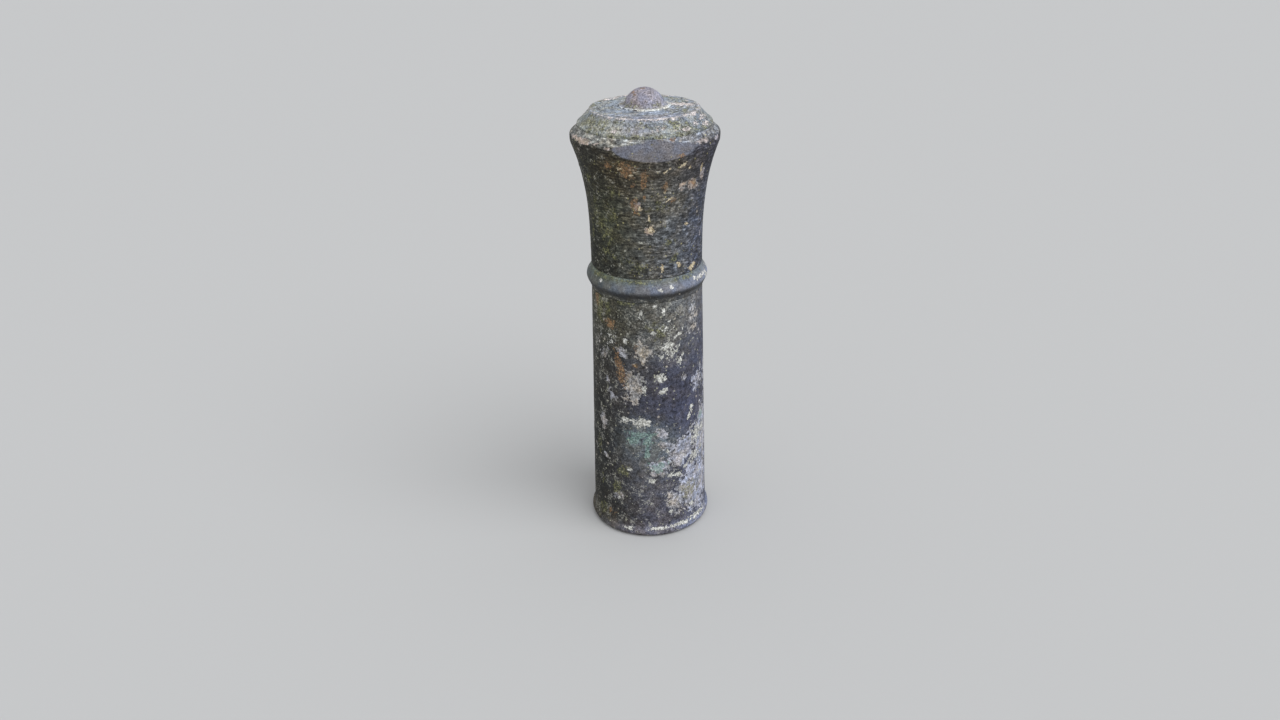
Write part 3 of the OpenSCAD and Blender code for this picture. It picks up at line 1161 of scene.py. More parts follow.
def curved(points: list[Point], count: int = 4) -> list[Point]:
    """Runs a smooth line through the points of a section.

    Args:
        points: The points that it passes.
        count: How many steps it has from one to the next.

    Returns:
        The points of the line.
    """
    p = np.array([points[0], *points, points[-1]], float)
    line = [tuple(p[1])]
    for a, b, c, d in zip(p, p[1:], p[2:], p[3:]):
        for t in np.linspace(0, 1, count + 1)[1:]:
            line.append(
                tuple(
                    0.5 * (2 * b + (c - a) * t + (2 * a - 5 * b + 4 * c - d) * t**2
                           + (3 * b - a - 3 * c + d) * t**3)
                )
            )
    return line


@dataclass
class LowerShaft(TurnedPiece):
    """The tapering lower casting, with a bead at its foot."""

    wall: float = 12.0
    foot_radius: float = 128.0
    top_radius: float = 117.2
    foot_height: float = 44.0
    bead_radius: float = 13.0
    bead_centre: Point = (121.5, 12.5)
    ledge_radius: float = 104.0
    rebate_radius: float = 119.5

    def radius_at(self, height: float, top: float) -> float:
        """Returns the outer radius of the taper at a height."""
        share = (height - self.foot_height) / (top - self.foot_height)
        return self.foot_radius + (self.top_radius - self.foot_radius) * share

    def outer(self) -> list[Point]:
        """Returns the bead, the sweep above it and the taper."""
        top = levels(self.node)[1]
        sweep = [
            (self.foot_radius + 2 * (1 - t) ** 2, 22.2 + t * (self.foot_height - 22.2))
            for t in (0.2, 0.5, 0.75, 1.0)
        ]
        return [
            (127.0, 0.0),
            *arc(self.bead_centre, self.bead_radius, -66, 48, 14),
            *sweep,
            *arc((self.top_radius - 0.7, top), 0.7, 0, 90, 3),
            (self.top_radius - 1.1, top + 0.7),
        ]

    def inner(self) -> list[Point]:
        """Returns the bore, the ledge over the base plate and its rebate."""
        top = levels(self.node)[1]
        bore = self.top_radius - self.wall
        return [
            (bore, top),
            (bore, top - 40),
            (self.radius_at(top - 60, top) - self.wall, top - 60),
            (self.radius_at(58, top) - self.wall, 58),
            (self.ledge_radius, 46),
            (self.ledge_radius, 16),
            (self.rebate_radius, 16),
            (self.rebate_radius, 0),
        ]


@dataclass
class CollarRing(TurnedPiece):
    """The ring between the shaft and the head, whose spigots centre both."""

    height: float = 50.0
    spigot: float = 24.0

    def base(self) -> float:
        """Returns the level of the ring's lower joint."""
        return levels(self.node)[0] + self.spigot

    def outer(self) -> list[Point]:
        """Returns the swelling ring with the coves under and over it."""
        line = [
            (117.8, 0.4), (119.4, 5), (122.3, 12), (124.9, 17.2), (126.5, 21.5), (127, 25.2),
            (125.7, 31), (122.7, 36), (120, 40), (118.0, 44), (116.5, 49.4),
        ]
        return [(113.5, 0), (117.2, 0), *curved(line), (115.9, 50), (113.5, 50)]

    def inner(self) -> list[Point]:
        """Returns the upper spigot, the guide's seat, the bore and the lower spigot."""
        up, down = self.height + self.spigot, -self.spigot
        return [
            (103.8, self.height), (103.8, up), (97, up), (97, 36), (84, 36), (84, -6),
            (92.2, down), (104.7, down), (104.7, 0),
        ]


@dataclass
class Head(TurnedPiece):
    """The flared head, with the broad flat worn into the front of its rim."""

    height: float = 287.0
    neck_radius: float = 116.3
    flare: float = 32.8
    flare_from: float = 6.0
    flare_to: float = 256.0
    flat_radius: float = 242.0
    flat_axis: float = 102.0
    flat_turn: float = 8.0
    flat_lean: float = 0.25
    flat_level: float = 887.0
    flat_edge: float = 1.2

    def base(self) -> float:
        """Returns the level of the head's lower joint."""
        return levels(self.node)[0]

    def flared(self, radius: float, height: float) -> float:
        """Returns a radius at the neck carried up the flare to a height."""
        share = max(0.0, height - self.flare_from) / (self.flare_to - self.flare_from)
        return radius + self.flare * share**3

    def outer(self) -> list[Point]:
        """Returns the neck, the flare, the rounded rim and the band over it."""
        neck = self.neck_radius
        rise = np.linspace(self.flare_from, self.flare_to, 40)
        return [
            *arc((neck - 0.8, 0.0), 0.8, -90, 0, 3),
            *[(self.flared(neck, z), float(z)) for z in rise],
            (149.85, 261.0),
            *arc((142.4, 268.3), 7.6, 0, 80, 8),
            (138.6, 279.8),
            (136.0, 286.0),
            *arc((134.8, 286.0), 1.0, 0, 90, 3),
            (131.0, 287.0),
        ]

    def inner(self) -> list[Point]:
        """Returns the cap's socket and the wall down to the neck."""
        falls = np.linspace(self.flare_to, 34.0, 10)
        wall = [(min(124.0, self.flared(104.6, z)), float(z)) for z in falls]
        return [(126.0, 287.0), (126.0, 263.0), *wall, (104.3, 30.0), (104.3, 0.0)]

    def trimmed(self, radius: np.ndarray, height: np.ndarray, azimuth: np.ndarray) -> np.ndarray:
        """Takes off what stood proud of the leaning flat.

        Args:
            radius: The radius of each point in millimetres.
            height: Its height.
            azimuth: Its angle from the front, in radians.

        Returns:
            The new radii.
        """
        reach = self.flat_radius + self.flat_lean * (self.flat_level - height)
        turn = azimuth - math.radians(self.flat_turn)
        off = self.flat_axis * np.cos(turn)
        flat = np.sqrt(off**2 + reach**2 - self.flat_axis**2) - off
        return 0.5 * (radius + flat - np.sqrt((radius - flat) ** 2 + self.flat_edge**2))


@dataclass
class Cap(TurnedPiece):
    """The cap: a bevelled rim round a slightly crowned disc with faint turned ridges."""

    spigot: float = 17.0
    ridge: float = 0.28
    ridge_pitch: float = 11.0

    def base(self) -> float:
        """Returns the level of the cap's foot."""
        return levels(self.node)[0] + self.spigot

    def outer(self) -> list[Point]:
        """Returns the bevel, the rolled edge and the disc."""
        disc = [
            (r, float(np.interp(r, [54, 94], [32.0, 29.7]))
             + self.ridge * math.sin(2 * math.pi * r / self.ridge_pitch))
            for r in np.arange(92.0, 55.0, -2.0)
        ]
        return [
            (130.0, -1.2), (134.2, -1.2), (134.7, 0.4), (134.6, 2.2), (133.2, 3.7), (131.4, 4.3),
            (110.6, 25.4), (109.8, 26.9),
            *arc((107.2, 27.3), 2.6, 10, 90, 4),
            (102.0, 29.9), (100.6, 29.3), (94.0, 29.6),
            *disc,
            (54.0, 32.0), (49.0, 32.0),
        ]

    def inner(self) -> list[Point]:
        """Returns the land under the finial, the hub, the underside and the spigot."""
        return [
            (10.5, 32.0), (10.5, 4.9), (26.0, 4.9), (26.0, 17.9), (98.0, 17.9),
            (115.5, -2.0), (115.5, -17.0), (125.5, -17.0), (125.5, 0.0),
        ]


@dataclass
class Finial(TurnedPiece):
    """The domed finial, screwed on the tie rod over the clamping nut."""

    dome_radius: float = 41.0
    foot_radius: float = 50.0
    foot_thickness: float = 0.8
    fillet_radius: float = 10.0
    height: float = 33.6

    def base(self) -> float:
        """Returns the level of the finial's foot."""
        return levels(self.node)[0]

    def outer(self) -> list[Point]:
        """Returns the foot, the fillet and the dome."""
        centre = self.height - self.dome_radius
        level = self.foot_thickness + self.fillet_radius
        across = math.sqrt((self.dome_radius + self.fillet_radius) ** 2 - (level - centre) ** 2)
        meet = math.degrees(math.atan2(level - centre, across))
        dome = arc((0.0, centre), self.dome_radius, meet + 4, 90, 30)
        return [
            (45.0, 0.0), (self.foot_radius, 0.0), (self.foot_radius, self.foot_thickness),
            *arc((across, level), self.fillet_radius, 270, 180 + meet, 8),
            *dome[:-1], (0.0, self.height),
        ]

    def inner(self) -> list[Point]:
        """Returns the blind thread and the cavity over the nut."""
        return [(0.0, 28.0), (10.05, 28.0), (10.05, 19.0), (20.5, 19.0), (20.5, 0.0)]


@dataclass
class Bedding(TurnedPiece):
    """The soft washer squeezed out unevenly from under the finial."""

    thickness: float = 1.8
    waves: tuple[tuple[float, float, float], ...] = (
        (5, 0.12, 0.4), (11, 0.16, 2.1), (23, 0.14, 1.0), (41, 0.12, 0.2)
    )

    def base(self) -> float:
        """Returns the level of the land that it lies on."""
        return levels(self.node)[0]

    def outer(self) -> list[Point]:
        """Returns the squeezed edge."""
        return [(50.4, 0.0), (52.2, 0.1), (52.0, 1.2), (51.2, 2.2), (50.1, 2.7)]

    def inner(self) -> list[Point]:
        """Returns the face under the finial and the bore."""
        return [(50.05, self.thickness), (21.0, self.thickness), (21.0, 0.0)]

    def trimmed(self, radius: np.ndarray, height: np.ndarray, azimuth: np.ndarray) -> np.ndarray:
        """Makes the squeezed edge uneven.

        Args:
            radius: The radius of each point in millimetres.
            height: Its height; not used.
            azimuth: Its angle from the front, in radians.

        Returns:
            The new radii.
        """
        swell = 0.75 + 0.35 * np.cos(azimuth - 1.1)
        for turns, size, phase in self.waves:
            swell = swell + size * np.sin(turns * azimuth + phase)
        return 50.0 + (radius - 50.0) * swell


SHAFT_WEAR: Wear = {
    Layer.BARE: marks(
        (56, 105, 56, 78, 0, 0.86, 0.25), (27, 85, 22, 34, 0, 0.9, 0.75),
        (42, 215, 26, 28, 0, 1, 0.3), (69, 214, 41, 78, 0, 1, 0.3), (80, 350, 12, 70, 0, 0.9, 0.3),
        (30, 205, 22, 32, 0, 1, 0.4), (10, 178, 22, 20, 0, 1, 0.5), (16, 232, 12, 9, 0, 1, 0.6),
        (14, 262, 14, 12, 0, 1, 0.5), (60, 362, 20, 17, 0, 1, 0.3), (67, 390, 6, 12, 0, 1, 0.3),
        (39, 386, 8, 6, 0, 1, 0.4), (-15, 375, 22, 38, 0, 1, 0.85),
        (-40, 345, 12, 12, 0, 0.8, 0.6), (-6, 462, 16, 26, 0, 0.9, 1),
        (-28, 452, 8, 16, 50, 0.85, 0.7), (-52, 432, 12, 20, 0, 0.7, 0.8),
        (-60, 470, 12, 20, 0, 0.6, 0.8), (54, 510, 18, 32, 0, 0.6, 0.8),
        (-54, 272, 10, 16, 0, 1, 0.7), (-34, 97, 12, 8, 20, 1, 0.6), (-50, 187, 8, 5, 0, 1, 0.6),
        (-47, 380, 6, 6, 0, 1, 0.5),
    ),
    Layer.PALE: marks(
        (20, 468, 13, 10, 0, 0.9), (22, 452, 28, 26, 0, 0.5), (33, 428, 12, 14, 0, 0.56),
        (17, 505, 18, 12, 0, 0.58), (58, 232, 26, 26, 0, 0.62), (52, 182, 30, 18, 0, 0.6),
        (-40, 480, 14, 18, 0, 0.5), (12, 396, 12, 9), (15, 363, 11, 7, 40), (-8, 290, 20, 10),
        (-24, 293, 14, 7), (2, 145, 7, 6), (21, 154, 8, 6), (29, 150, 8, 6), (39, 168, 8, 4, 35),
        (-24, 478, 4, 7), (5, 500, 5, 4), (-5, 370, 4, 12), (-7, 545, 4, 6), (7, 557, 4, 4),
        (16, 545, 3, 9), (-8, 535, 4, 4), (22, 523, 4, 3), (28, 485, 4, 3), (33, 490, 4, 4),
        (37, 500, 3, 4), (14, 443, 4, 5), (37, 443, 4, 4), (44, 288, 5, 7), (48, 303, 5, 8),
        (18, 218, 3, 5), (-21, 170, 5, 4), (8, 21, 26, 3, 0, 0.9), (30, 22, 24, 4, 0, 0.95),
        (55, 24, 30, 6, 0, 0.85), (-22, 19, 12, 3, 0, 0.9), (66, 190, 8, 6, 0, 0.8),
        (60, 130, 7, 5, 0, 0.8), (48, 60, 8, 6, 0, 0.8), (20, 60, 5, 4), (-33, 92, 5, 4),
        (72, 240, 6, 16, 0, 0.8),
    ),
    Layer.VERDIGRIS: marks(
        (-16, 247, 9, 12, -50), (-7, 262, 22, 5), (-2, 245, 8, 9), (9, 178, 18, 14, 0, 0.66),
        (-3, 215, 6, 10), (67, 270, 10, 8, 0, 0.85),
    ),
    Layer.RUST: marks(
        (-31, 420, 8, 32, 12), (-28, 392, 10, 12), (-12, 455, 4, 5), (-14, 425, 5, 4),
        (-62, 550, 8, 14), (-42, 510, 12, 10), (-44, 45, 12, 8, 0, 0.8), (-13, 463, 6, 7, 0, 0.8),
    ),
    Layer.MOSS: marks(
        (12, 502, 10, 13), (4, 515, 9, 8, 0, 0.8), (-58, 538, 8, 34, 0, 1.2), (-45, 545, 6, 16),
        (-27, 565, 8, 6), (-17, 565, 8, 5), (-62, 200, 8, 20, 0, 0.7), (-56, 120, 8, 14, 0, 0.7),
        (-28, 165, 10, 12), (46, 98, 30, 26, 0, 0.62), (-36, 118, 10, 14),
        (-58, 40, 20, 16, 0, 0.7),
    ),
}

# Painted light and shade over the paint's own tones: rows near -60° are dark and olive, rows toward
# +60° and round to 120° lighter and bluer, as from light on the right, and darker and olive round
# to 240°. The bright bluish rows on the foot bead's crest at run 13 are a painted highlight, and
# the dark band at run 590 is painted shadow at the top of the shaft under the collar ring.
SHAFT_WASHES_AND_LIGHT = washes(
    (-60, 545, 34, 34, 66, 63, 46, 1.0), (-25, 545, 34, 34, 68, 68, 60, 0.85),
    (5, 535, 34, 34, 88, 88, 85, 0.8), (38, 550, 34, 34, 112, 112, 109, 0.7),
    (65, 545, 34, 34, 90, 92, 102, 0.4), (-62, 460, 34, 36, 54, 55, 49, 0.95),
    (-38, 500, 24, 22, 68, 66, 54, 0.95), (-38, 460, 24, 24, 48, 48, 46, 0.8),
    (8, 490, 36, 26, 94, 94, 90, 0.9), (45, 470, 36, 30, 84, 85, 92, 0.6),
    (70, 430, 26, 40, 68, 72, 92, 0.2), (-58, 400, 30, 40, 54, 52, 49, 0.95),
    (-15, 400, 34, 30, 68, 67, 68, 0.4), (30, 380, 46, 46, 68, 69, 82, 0.1),
    (5, 335, 46, 26, 60, 60, 70, 0.2), (45, 320, 40, 30, 66, 68, 86, 0.1),
    (-62, 310, 26, 50, 26, 27, 24, 0.85), (-40, 330, 20, 30, 58, 57, 56, 0.9),
    (-40, 240, 30, 34, 50, 51, 51, 0.8), (-18, 180, 22, 24, 82, 80, 80, 0.7),
    (-5, 235, 36, 36, 104, 111, 115, 0.5), (-64, 160, 30, 70, 22, 24, 19, 0.9),
    (-34, 150, 28, 40, 58, 57, 57, 0.8), (0, 140, 30, 40, 84, 85, 92, 0.6),
    (-34, 80, 34, 30, 56, 55, 53, 0.8), (3, 70, 36, 40, 80, 78, 86, 0.7),
    (60, 100, 50, 80, 80, 82, 98, 0.3), (-60, 60, 34, 24, 40, 39, 32, 0.9),
    (-60, 20, 50, 14, 80, 76, 66, 0.8), (-10, 13, 60, 9, 108, 106, 116, 0.5),
    (55, 13, 56, 9, 140, 146, 168, 0.6), (0, 2, 500, 4, 70, 62, 56, 0.5),
    (0, 590, 500, 7, 40, 39, 37, 0.1), (120, 430, 60, 100, 70, 72, 84, 0.4),
    (180, 430, 70, 100, 74, 74, 72, 0.5), (240, 430, 60, 100, 66, 66, 58, 0.5),
    (120, 150, 60, 110, 84, 87, 98, 0.5), (180, 150, 70, 110, 72, 72, 74, 0.5),
    (240, 150, 60, 110, 56, 56, 52, 0.5),
)

COLLAR_WEAR: Wear = {
    Layer.PALE: marks(
        (62, 601, 22, 3, 0, 0.95), (12, 597, 4, 3), (23, 600, 4, 3), (-50, 603, 5, 3),
        (52, 604, 6, 3), (75, 596, 8, 6),
    ),
    Layer.MOSS: marks(
        (-55, 611, 30, 5, 0, 0.9), (-10, 612, 40, 4, 0, 0.75), (40, 612, 30, 4, 0, 0.75),
    ),
}

# Painted light and shade over the paint's own tones: from -60° to +75° the rows grow lighter and
# bluer, most on the ring's swell at run 597, as from light on the right. The dark band at run 583
# is painted shadow under the swell.
COLLAR_WASHES_AND_LIGHT = washes(
    (-60, 569, 60, 5, 62, 61, 49, 0.8), (0, 569, 50, 5, 72, 72, 68, 0.8),
    (60, 569, 50, 5, 88, 89, 92, 0.8), (180, 569, 150, 5, 66, 66, 60, 0.8),
    (0, 583, 500, 4.5, 32, 31, 29, 0.1), (-60, 599, 44, 6, 82, 86, 82, 0.3),
    (-20, 597, 34, 6, 100, 104, 110, 0.0), (10, 597, 34, 6, 112, 115, 126, 0.0),
    (45, 597, 34, 6, 124, 128, 142, 0.1), (75, 597, 34, 6, 138, 144, 162, 0.3),
    (-55, 613, 60, 5, 96, 103, 86, 0.3), (10, 613, 50, 5, 108, 113, 112, 0.3),
    (60, 613, 50, 5, 114, 121, 126, 0.3), (180, 599, 150, 10, 98, 102, 104, 0.3),
)

HEAD_WEAR: Wear = {
    Layer.RUST: marks(
        (-15, 848, 14, 14), (-31, 855, 6, 7), (-2, 828, 6, 18), (-10, 772, 9, 13), (16, 812, 5, 7),
        (23, 781, 8, 5), (-11, 815, 4, 6), (-2, 790, 3, 5), (27, 873, 7, 3, 0, 0.95),
        (22, 903, 5, 3, 0, 0.95), (45, 808, 11, 6, -40, 0.8),
    ),
    Layer.BARE: marks(
        (3, 722, 9, 9, 0, 1, 1), (33, 810, 10, 10, 0, 0.8, 1), (45, 808, 14, 10, -40, 1, 0.9),
        (56, 820, 7, 12, 0, 1, 0.7), (-10, 773, 7, 9, 0, 1, 0.8), (68, 690, 6, 5, 0, 0.85, 0.5),
        (50, 893, 26, 4, 0, 0.75, 0.6), (68, 888, 16, 5, 0, 0.7, 0.5),
        (-58, 893, 50, 4, 0, 0.8, 0.95), (-30, 890, 10, 3, 0, 0.85, 0.9),
    ),
    Layer.PALE: marks(
        (30, 853, 8, 3, 40), (37, 845, 4, 2, 40), (17, 846, 7, 2, 35, 0.9), (50, 627, 9, 6),
        (54, 632, 5, 4), (15, 640, 3, 8), (33, 643, 5, 5), (-21, 851, 5, 3, 0, 0.9),
        (-12, 838, 6, 2, 0, 0.9), (42, 725, 5, 3), (2, 748, 2, 6), (4, 724, 6, 6, 0, 0.95),
        (-6, 768, 4, 4, 0, 0.9), (20, 783, 7, 2, 30), (16, 800, 3, 4), (52, 838, 3, 8, 10, 0.9),
    ),
    Layer.MOSS: marks(
        (22, 693, 9, 4), (-50, 728, 10, 16, -50), (-56, 758, 6, 18, 0, 0.9),
        (-42, 705, 14, 12, 0, 0.8), (-34, 745, 10, 16, 0, 0.7), (-26, 655, 18, 8, 0, 0.7),
        (-44, 672, 14, 8, 0, 0.7), (-8, 640, 14, 8, 0, 0.66), (-60, 815, 8, 10, 0, 0.8),
        (10, 770, 14, 10, 0, 0.7), (-30, 800, 10, 10, 0, 0.7), (-66, 700, 6, 26, 0, 0.7),
        (28, 655, 10, 8, 0, 0.66),
    ),
}

# Painted light and shade over the paint's own tones: rows near -60° are dark and olive, rows toward
# +60° and round to 110° bluer, as from light on the right. Round the back they darken and turn
# olive towards 270°.
HEAD_WASHES_AND_LIGHT = washes(
    (-66, 670, 30, 50, 25, 27, 20, 0.7), (-42, 655, 24, 34, 50, 50, 43, 0.7),
    (-18, 665, 30, 44, 78, 78, 71, 0.4), (8, 680, 30, 60, 92, 92, 90, 0.3),
    (30, 695, 30, 70, 99, 102, 107, 0.3), (62, 690, 30, 70, 74, 79, 96, 0.3),
    (-64, 755, 26, 30, 58, 58, 46, 0.9), (-38, 728, 26, 40, 80, 81, 62, 1.0),
    (-10, 750, 30, 40, 82, 80, 71, 0.4), (22, 780, 34, 34, 98, 95, 85, 0.4),
    (66, 770, 30, 40, 70, 73, 84), (-60, 835, 40, 34, 40, 38, 28, 0.9),
    (-18, 845, 30, 26, 76, 68, 51, 0.8), (12, 835, 34, 24, 88, 83, 75, 0.7),
    (42, 830, 34, 26, 78, 75, 76), (68, 848, 36, 30, 24, 24, 40, 0.4),
    (-55, 881, 70, 8, 52, 49, 42), (50, 881, 60, 8, 76, 75, 84), (-55, 903, 70, 6, 158, 156, 148),
    (-15, 905, 40, 5, 154, 155, 152), (50, 903, 70, 6, 150, 154, 164),
    (110, 740, 50, 100, 74, 78, 86), (160, 740, 60, 100, 70, 71, 68),
    (220, 740, 60, 100, 62, 62, 50), (270, 740, 50, 100, 54, 55, 44),
    (180, 903, 200, 7, 148, 149, 145),
)

CAP_WEAR: Wear = {
    Layer.PALE: marks(
        (38, 18, 12, 6, 0, 0.66), (52, 26, 10, 7, 0, 0.64), (66, 16, 14, 8, 0, 0.66),
        (12, 26, 14, 8, 0, 0.56), (-38, 46, 5, 3), (30, 44, 6, 3, 0, 0.95), (60, 44, 14, 3),
        (96, 80, 12, 28), (-28, 20, 6, 4, 0, 0.8), (0, 47, 130, 3.4, 0, 0.68),
        (-24, 52, 8, 4, 0, 0.9), (45, 47, 60, 3, 0, 0.66), (70, 30, 20, 8, 0, 0.6),
    ),
    Layer.MOSS: marks(
        (-60, 24, 50, 14, 0, 0.7), (-5, 8, 90, 5, 0, 0.8), (20, 30, 60, 9, 0, 0.66),
        (50, 12, 50, 6, 0, 0.7), (-20, 38, 60, 5, 0, 0.66), (60, 70, 30, 18, 0, 0.6),
        (-100, 50, 40, 10, 0, 0.7),
    ),
}

# Painted light over the paint's own tones: the rows toward +60° are bluer and those toward -60°
# warmer, as from bluish light on the right.
CAP_WASHES_AND_LIGHT = washes(
    (-8, 24, 26, 9, 138, 136, 143, 0.3), (-58, 24, 36, 12, 132, 133, 125, 0.8),
    (-32, 24, 24, 12, 144, 144, 138, 0.7), (22, 24, 30, 12, 128, 134, 136, 0.8),
    (60, 24, 36, 14, 98, 106, 122, 0.9), (0, 8, 400, 4, 128, 130, 123, 0.7),
    (0, 47, 400, 4, 164, 164, 168, 0.6), (0, 84, 90, 24, 134, 140, 151, 0.2),
    (8, 60, 50, 9, 132, 129, 140, 0.2), (90, 78, 60, 24, 134, 138, 144, 0.3),
    (180, 72, 90, 30, 132, 138, 144, 0.4), (270, 72, 60, 30, 128, 133, 136, 0.4),
    (180, 24, 200, 14, 134, 137, 133, 0.7),
)

FINIAL_WEAR: Wear = {
    Layer.RUST: marks(
        (-62, 44, 9, 5, 0, 0.8), (-30, 62, 6, 4, 0, 0.7),
    ),
    Layer.MOSS: marks(
        (-50, 14, 34, 8, 0, 0.8), (40, 18, 30, 6, 0, 0.62),
    ),
    Layer.PALE: marks(
        (60, 8, 30, 3, 0, 0.95), (-10, 8, 24, 2, 0, 0.9),
    ),
}

# Painted light over the paint's own tones: the row toward +80° is bluer, as from bluish light on
# the right.
FINIAL_WASHES_AND_LIGHT = washes(
    (0, 45, 60, 30, 140, 136, 148, 0.1), (-60, 35, 30, 20, 140, 132, 134, 0.1),
    (80, 30, 30, 20, 132, 136, 150, 0.1), (0, 8, 200, 6, 150, 152, 154, 0.6),
)


def castings() -> list[TurnedPiece]:
    """Returns the visible castings with their finishes, wear and tones."""
    return [
        LowerShaft(
            "lower_shaft_casting", "lower_shaft",
            WeatheredIron(
                "shaft_paint", "shaft_iron", lichen=0.16, chips=0.06,
                chalk_light=srgb(204, 204, 199),
            ),
            Relief(), 340, 2.15, all_round(SHAFT_WEAR, 11, 1.3), SHAFT_WASHES_AND_LIGHT, srgb(60, 60, 62),
        ),
        CollarRing(
            "collar_ring_casting", "collar_ring",
            WeatheredIron(
                "collar_paint", "collar_iron", coarse=0.7, middle=1.4, fine=2.2, lichen=0.05,
                chips=0.02,
            ),
            Relief(undulation=0.35, grain=0.12), 560, 1.5, all_round(COLLAR_WEAR, 23, 2.0),
            COLLAR_WASHES_AND_LIGHT, srgb(88, 92, 100),
        ),
        Head(
            "head_casting", "head",
            WeatheredIron(
                "head_paint", "head_iron", fine=2.7, ripple=0.62, wear=0.3, lichen=0.12, chips=0.04,
                patch_size=13.0, ragged=0.6, bare_warm=srgb(166, 147, 126),
                lichen_colour=srgb(158, 152, 108), chalk_dark=srgb(146, 128, 98),
                chalk_light=srgb(206, 194, 168),
            ),
            Relief(undulation=0.4, ripple=0.18), 470, 1.75, all_round(HEAD_WEAR, 37, 1.3),
            HEAD_WASHES_AND_LIGHT, srgb(60, 60, 54),
        ),
        Cap(
            "cap_casting", "cap",
            WeatheredIron(
                "cap_paint", "cap_iron", coarse=0.9, middle=2.6, lichen=0.34, chips=0.12,
                streak=1.6, rings=3.2, wear=0.6, chalk_dark=srgb(148, 138, 134),
                chalk_light=srgb(216, 208, 206),
                lichen_colour=srgb(184, 184, 160),
            ),
            Relief(undulation=0.4, grain=0.2), 600, 1.5, all_round(CAP_WEAR, 41, 1.0),
            CAP_WASHES_AND_LIGHT, srgb(108, 112, 112), by_length=True,
        ),
        Finial(
            "finial_casting", "finial",
            WeatheredIron(
                "finial_paint", "finial_iron", coarse=0.6, middle=1.7, streak=0.6, lichen=0.06,
                chips=0.03, lichen_colour=srgb(170, 168, 168),
            ),
            Relief(undulation=0.45, grain=0.3), 240, 1.2, all_round(FINIAL_WEAR, 53, 1.0),
            FINIAL_WASHES_AND_LIGHT, srgb(120, 116, 128), by_length=True, closed_top=True,
        ),
        Bedding(
            "finial_bedding", "finial_washer",
            WeatheredIron(
                "bedding_lead", "soft_washer", coarse=0.7, middle=1.4, lichen=0.05, chips=0.1
            ),
            Relief(undulation=0.3, grain=0.25), 480, 0.7, {}, [], srgb(206, 208, 206),
            by_length=True,
        ),
    ]


STEEL = PlainFinish(
    "oiled_steel", "rod_steel", srgb(128, 126, 122), srgb(96, 72, 54), 0.9, 0.42,
    Texture.TURNED, 0.4,
)
PACKING = PlainFinish(
    "foot_joint", "joint_packing", srgb(58, 58, 58), srgb(84, 82, 78), 0.0, 0.8, Texture.PRESSED
)
DRESSED = {
    "base_plate": PlainFinish(
        "plate_scale", "plate_iron", srgb(92, 90, 88), srgb(110, 76, 54), 0.6, 0.62,
        Texture.ROLLED, 0.9,
    ),
    "foot_packing": PACKING,
    "lower_packing": replace(
        PACKING, name="lower_joint", colour=srgb(70, 70, 64), stain=srgb(88, 87, 80)
    ),
    "upper_packing": replace(
        PACKING, name="upper_joint", colour=srgb(56, 58, 52), stain=srgb(84, 84, 66)
    ),
    "cap_packing": replace(
        PACKING, name="cap_joint", colour=srgb(118, 119, 112), stain=srgb(128, 128, 114),
        roughness=0.85,
    ),
    "foot_dowels": replace(STEEL, name="foot_pin_steel", slot="pin_steel"),
    "lower_joint_dowels": replace(STEEL, name="lower_pin_steel", slot="pin_steel"),
    "upper_joint_dowels": replace(STEEL, name="upper_pin_steel", slot="pin_steel"),
    "tie_rod": STEEL,
    "rod_guide": replace(STEEL, name="guide_steel", roughness=0.5, texture=Texture.ROLLED),
    "rod_guide_screws": replace(STEEL, name="screw_steel", slot="nut_steel"),
    "rod_lock_washer": replace(STEEL, name="lock_washer_steel", slot="nut_steel"),
    "rod_lock_nut": replace(STEEL, name="lock_nut_steel", slot="nut_steel", roughness=0.38),
    "clamp_washer": replace(STEEL, name="clamp_washer_steel", slot="nut_steel"),
    "clamp_nut": replace(STEEL, name="clamp_nut_steel", slot="nut_steel", roughness=0.38),
}


def dress_ironmongery() -> None:
    """Gives each CAD node that stays in the scene its own finish, and reports it."""
    for node, finish in DRESSED.items():
        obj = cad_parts[node]
        obj.data.materials.clear()
        obj.data.materials.append(finish.material())
        log.info("%s: %s", node, finish.name)


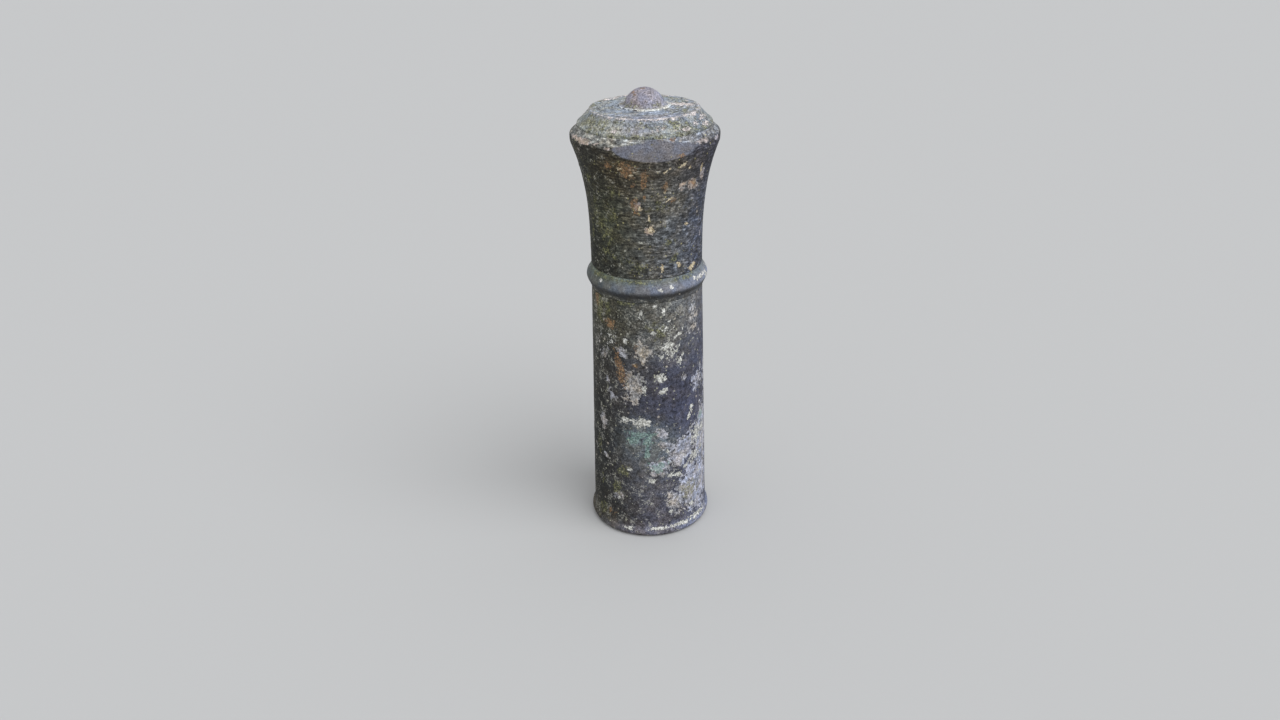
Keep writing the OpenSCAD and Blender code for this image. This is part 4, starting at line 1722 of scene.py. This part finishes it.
@dataclass(frozen=True)
class Studio:
    """A pale floor, soft light all round and one broad soft light, and the camera."""

    floor_radius: float = 60.0
    floor_colour: Colour = srgb(198, 198, 198)
    backdrop: float = 0.59
    ambient: float = 0.64
    light_colour: tuple[float, float, float] = (0.97, 0.985, 1.0)
    key_strength: float = 1.6
    key_turn: float = 48.0
    key_lift: float = 52.0
    key_spread: float = 50.0
    camera_place: tuple[float, float, float] = (-0.01804, -2.0554, 1.4098)
    camera_tilt: float = 63.39
    camera_roll: float = -1.05
    focal_length: float = 29.325

    def build(self) -> None:
        """Builds the floor, the world, the light and the camera."""
        self.lay_floor()
        self.light_world()
        self.hang_key()
        self.stand_camera()
        bpy.context.scene.view_settings.view_transform = "Standard"

    def lay_floor(self) -> None:
        """Lays a wide round floor under the object."""
        mesh = bpy.data.meshes.new("floor")
        turn = np.linspace(0, 2 * math.pi, 96, endpoint=False)
        rim = [
            (self.floor_radius * math.cos(a), self.floor_radius * math.sin(a), 0.0) for a in turn
        ]
        mesh.from_pydata(rim, [], [tuple(range(len(rim)))])
        floor = bpy.data.objects.new("floor", mesh)
        bpy.context.scene.collection.objects.link(floor)
        c, shader = new_material("floor_paint")
        shader.inputs["Base Color"].default_value = self.floor_colour
        rough = c.add(0.85, c.swing(c.noise(c.position(), Grain(300.0)), 0.05))
        c.feed(shader, {"Roughness": rough})
        shader.inputs["Specular IOR Level"].default_value = 0.1
        mesh.materials.append(bpy.data.materials["floor_paint"])

    def light_world(self) -> None:
        """Lights the scene evenly, and shows a backdrop of the floor's own tone."""
        world = bpy.data.worlds.new("studio")
        bpy.context.scene.world = world
        world.use_nodes = True
        world.node_tree.nodes.clear()
        c = Canvas(world.node_tree)
        seen = c.place("ShaderNodeBackground", {0: (self.backdrop,) * 3 + (1.0,), 1: 1.0})
        glow = c.place("ShaderNodeBackground", {0: (*self.light_colour, 1.0), 1: self.ambient})
        path = c.place("ShaderNodeLightPath")
        both = c.place(
            "ShaderNodeMixShader",
            {0: path.outputs["Is Camera Ray"], 1: glow.outputs[0], 2: seen.outputs[0]},
        )
        c.place("ShaderNodeOutputWorld", {0: both.outputs[0]})

    def hang_key(self) -> None:
        """Hangs the broad key light to the right of the camera."""
        data = bpy.data.lights.new("key", "SUN")
        data.energy = self.key_strength
        data.angle = math.radians(self.key_spread)
        data.color = self.light_colour
        key = bpy.data.objects.new("key", data)
        bpy.context.scene.collection.objects.link(key)
        turn, lift = math.radians(self.key_turn), math.radians(self.key_lift)
        towards = Vector(
            (math.sin(turn) * math.cos(lift), -math.cos(turn) * math.cos(lift), math.sin(lift))
        )
        key.rotation_mode = "QUATERNION"
        key.rotation_quaternion = towards.to_track_quat("Z", "Y")

    def stand_camera(self) -> None:
        """Stands the camera before the object, looking down at it."""
        data = bpy.data.cameras.new("camera")
        data.lens = self.focal_length
        data.sensor_width = 36.0
        data.clip_end = 200.0
        camera = bpy.data.objects.new("camera", data)
        bpy.context.scene.collection.objects.link(camera)
        turn = Matrix.Rotation(math.radians(self.camera_tilt), 4, "X") @ Matrix.Rotation(
            math.radians(self.camera_roll), 4, "Z"
        )
        camera.matrix_world = Matrix.Translation(Vector(self.camera_place)) @ turn
        bpy.context.scene.camera = camera


def main() -> None:
    """Builds the studio and the pieces."""
    logging.basicConfig(level=logging.INFO, format="%(message)s")
    Studio().build()
    dress_ironmongery()
    for casting in castings():
        casting.build()


if __name__ == "__main__":
    main()
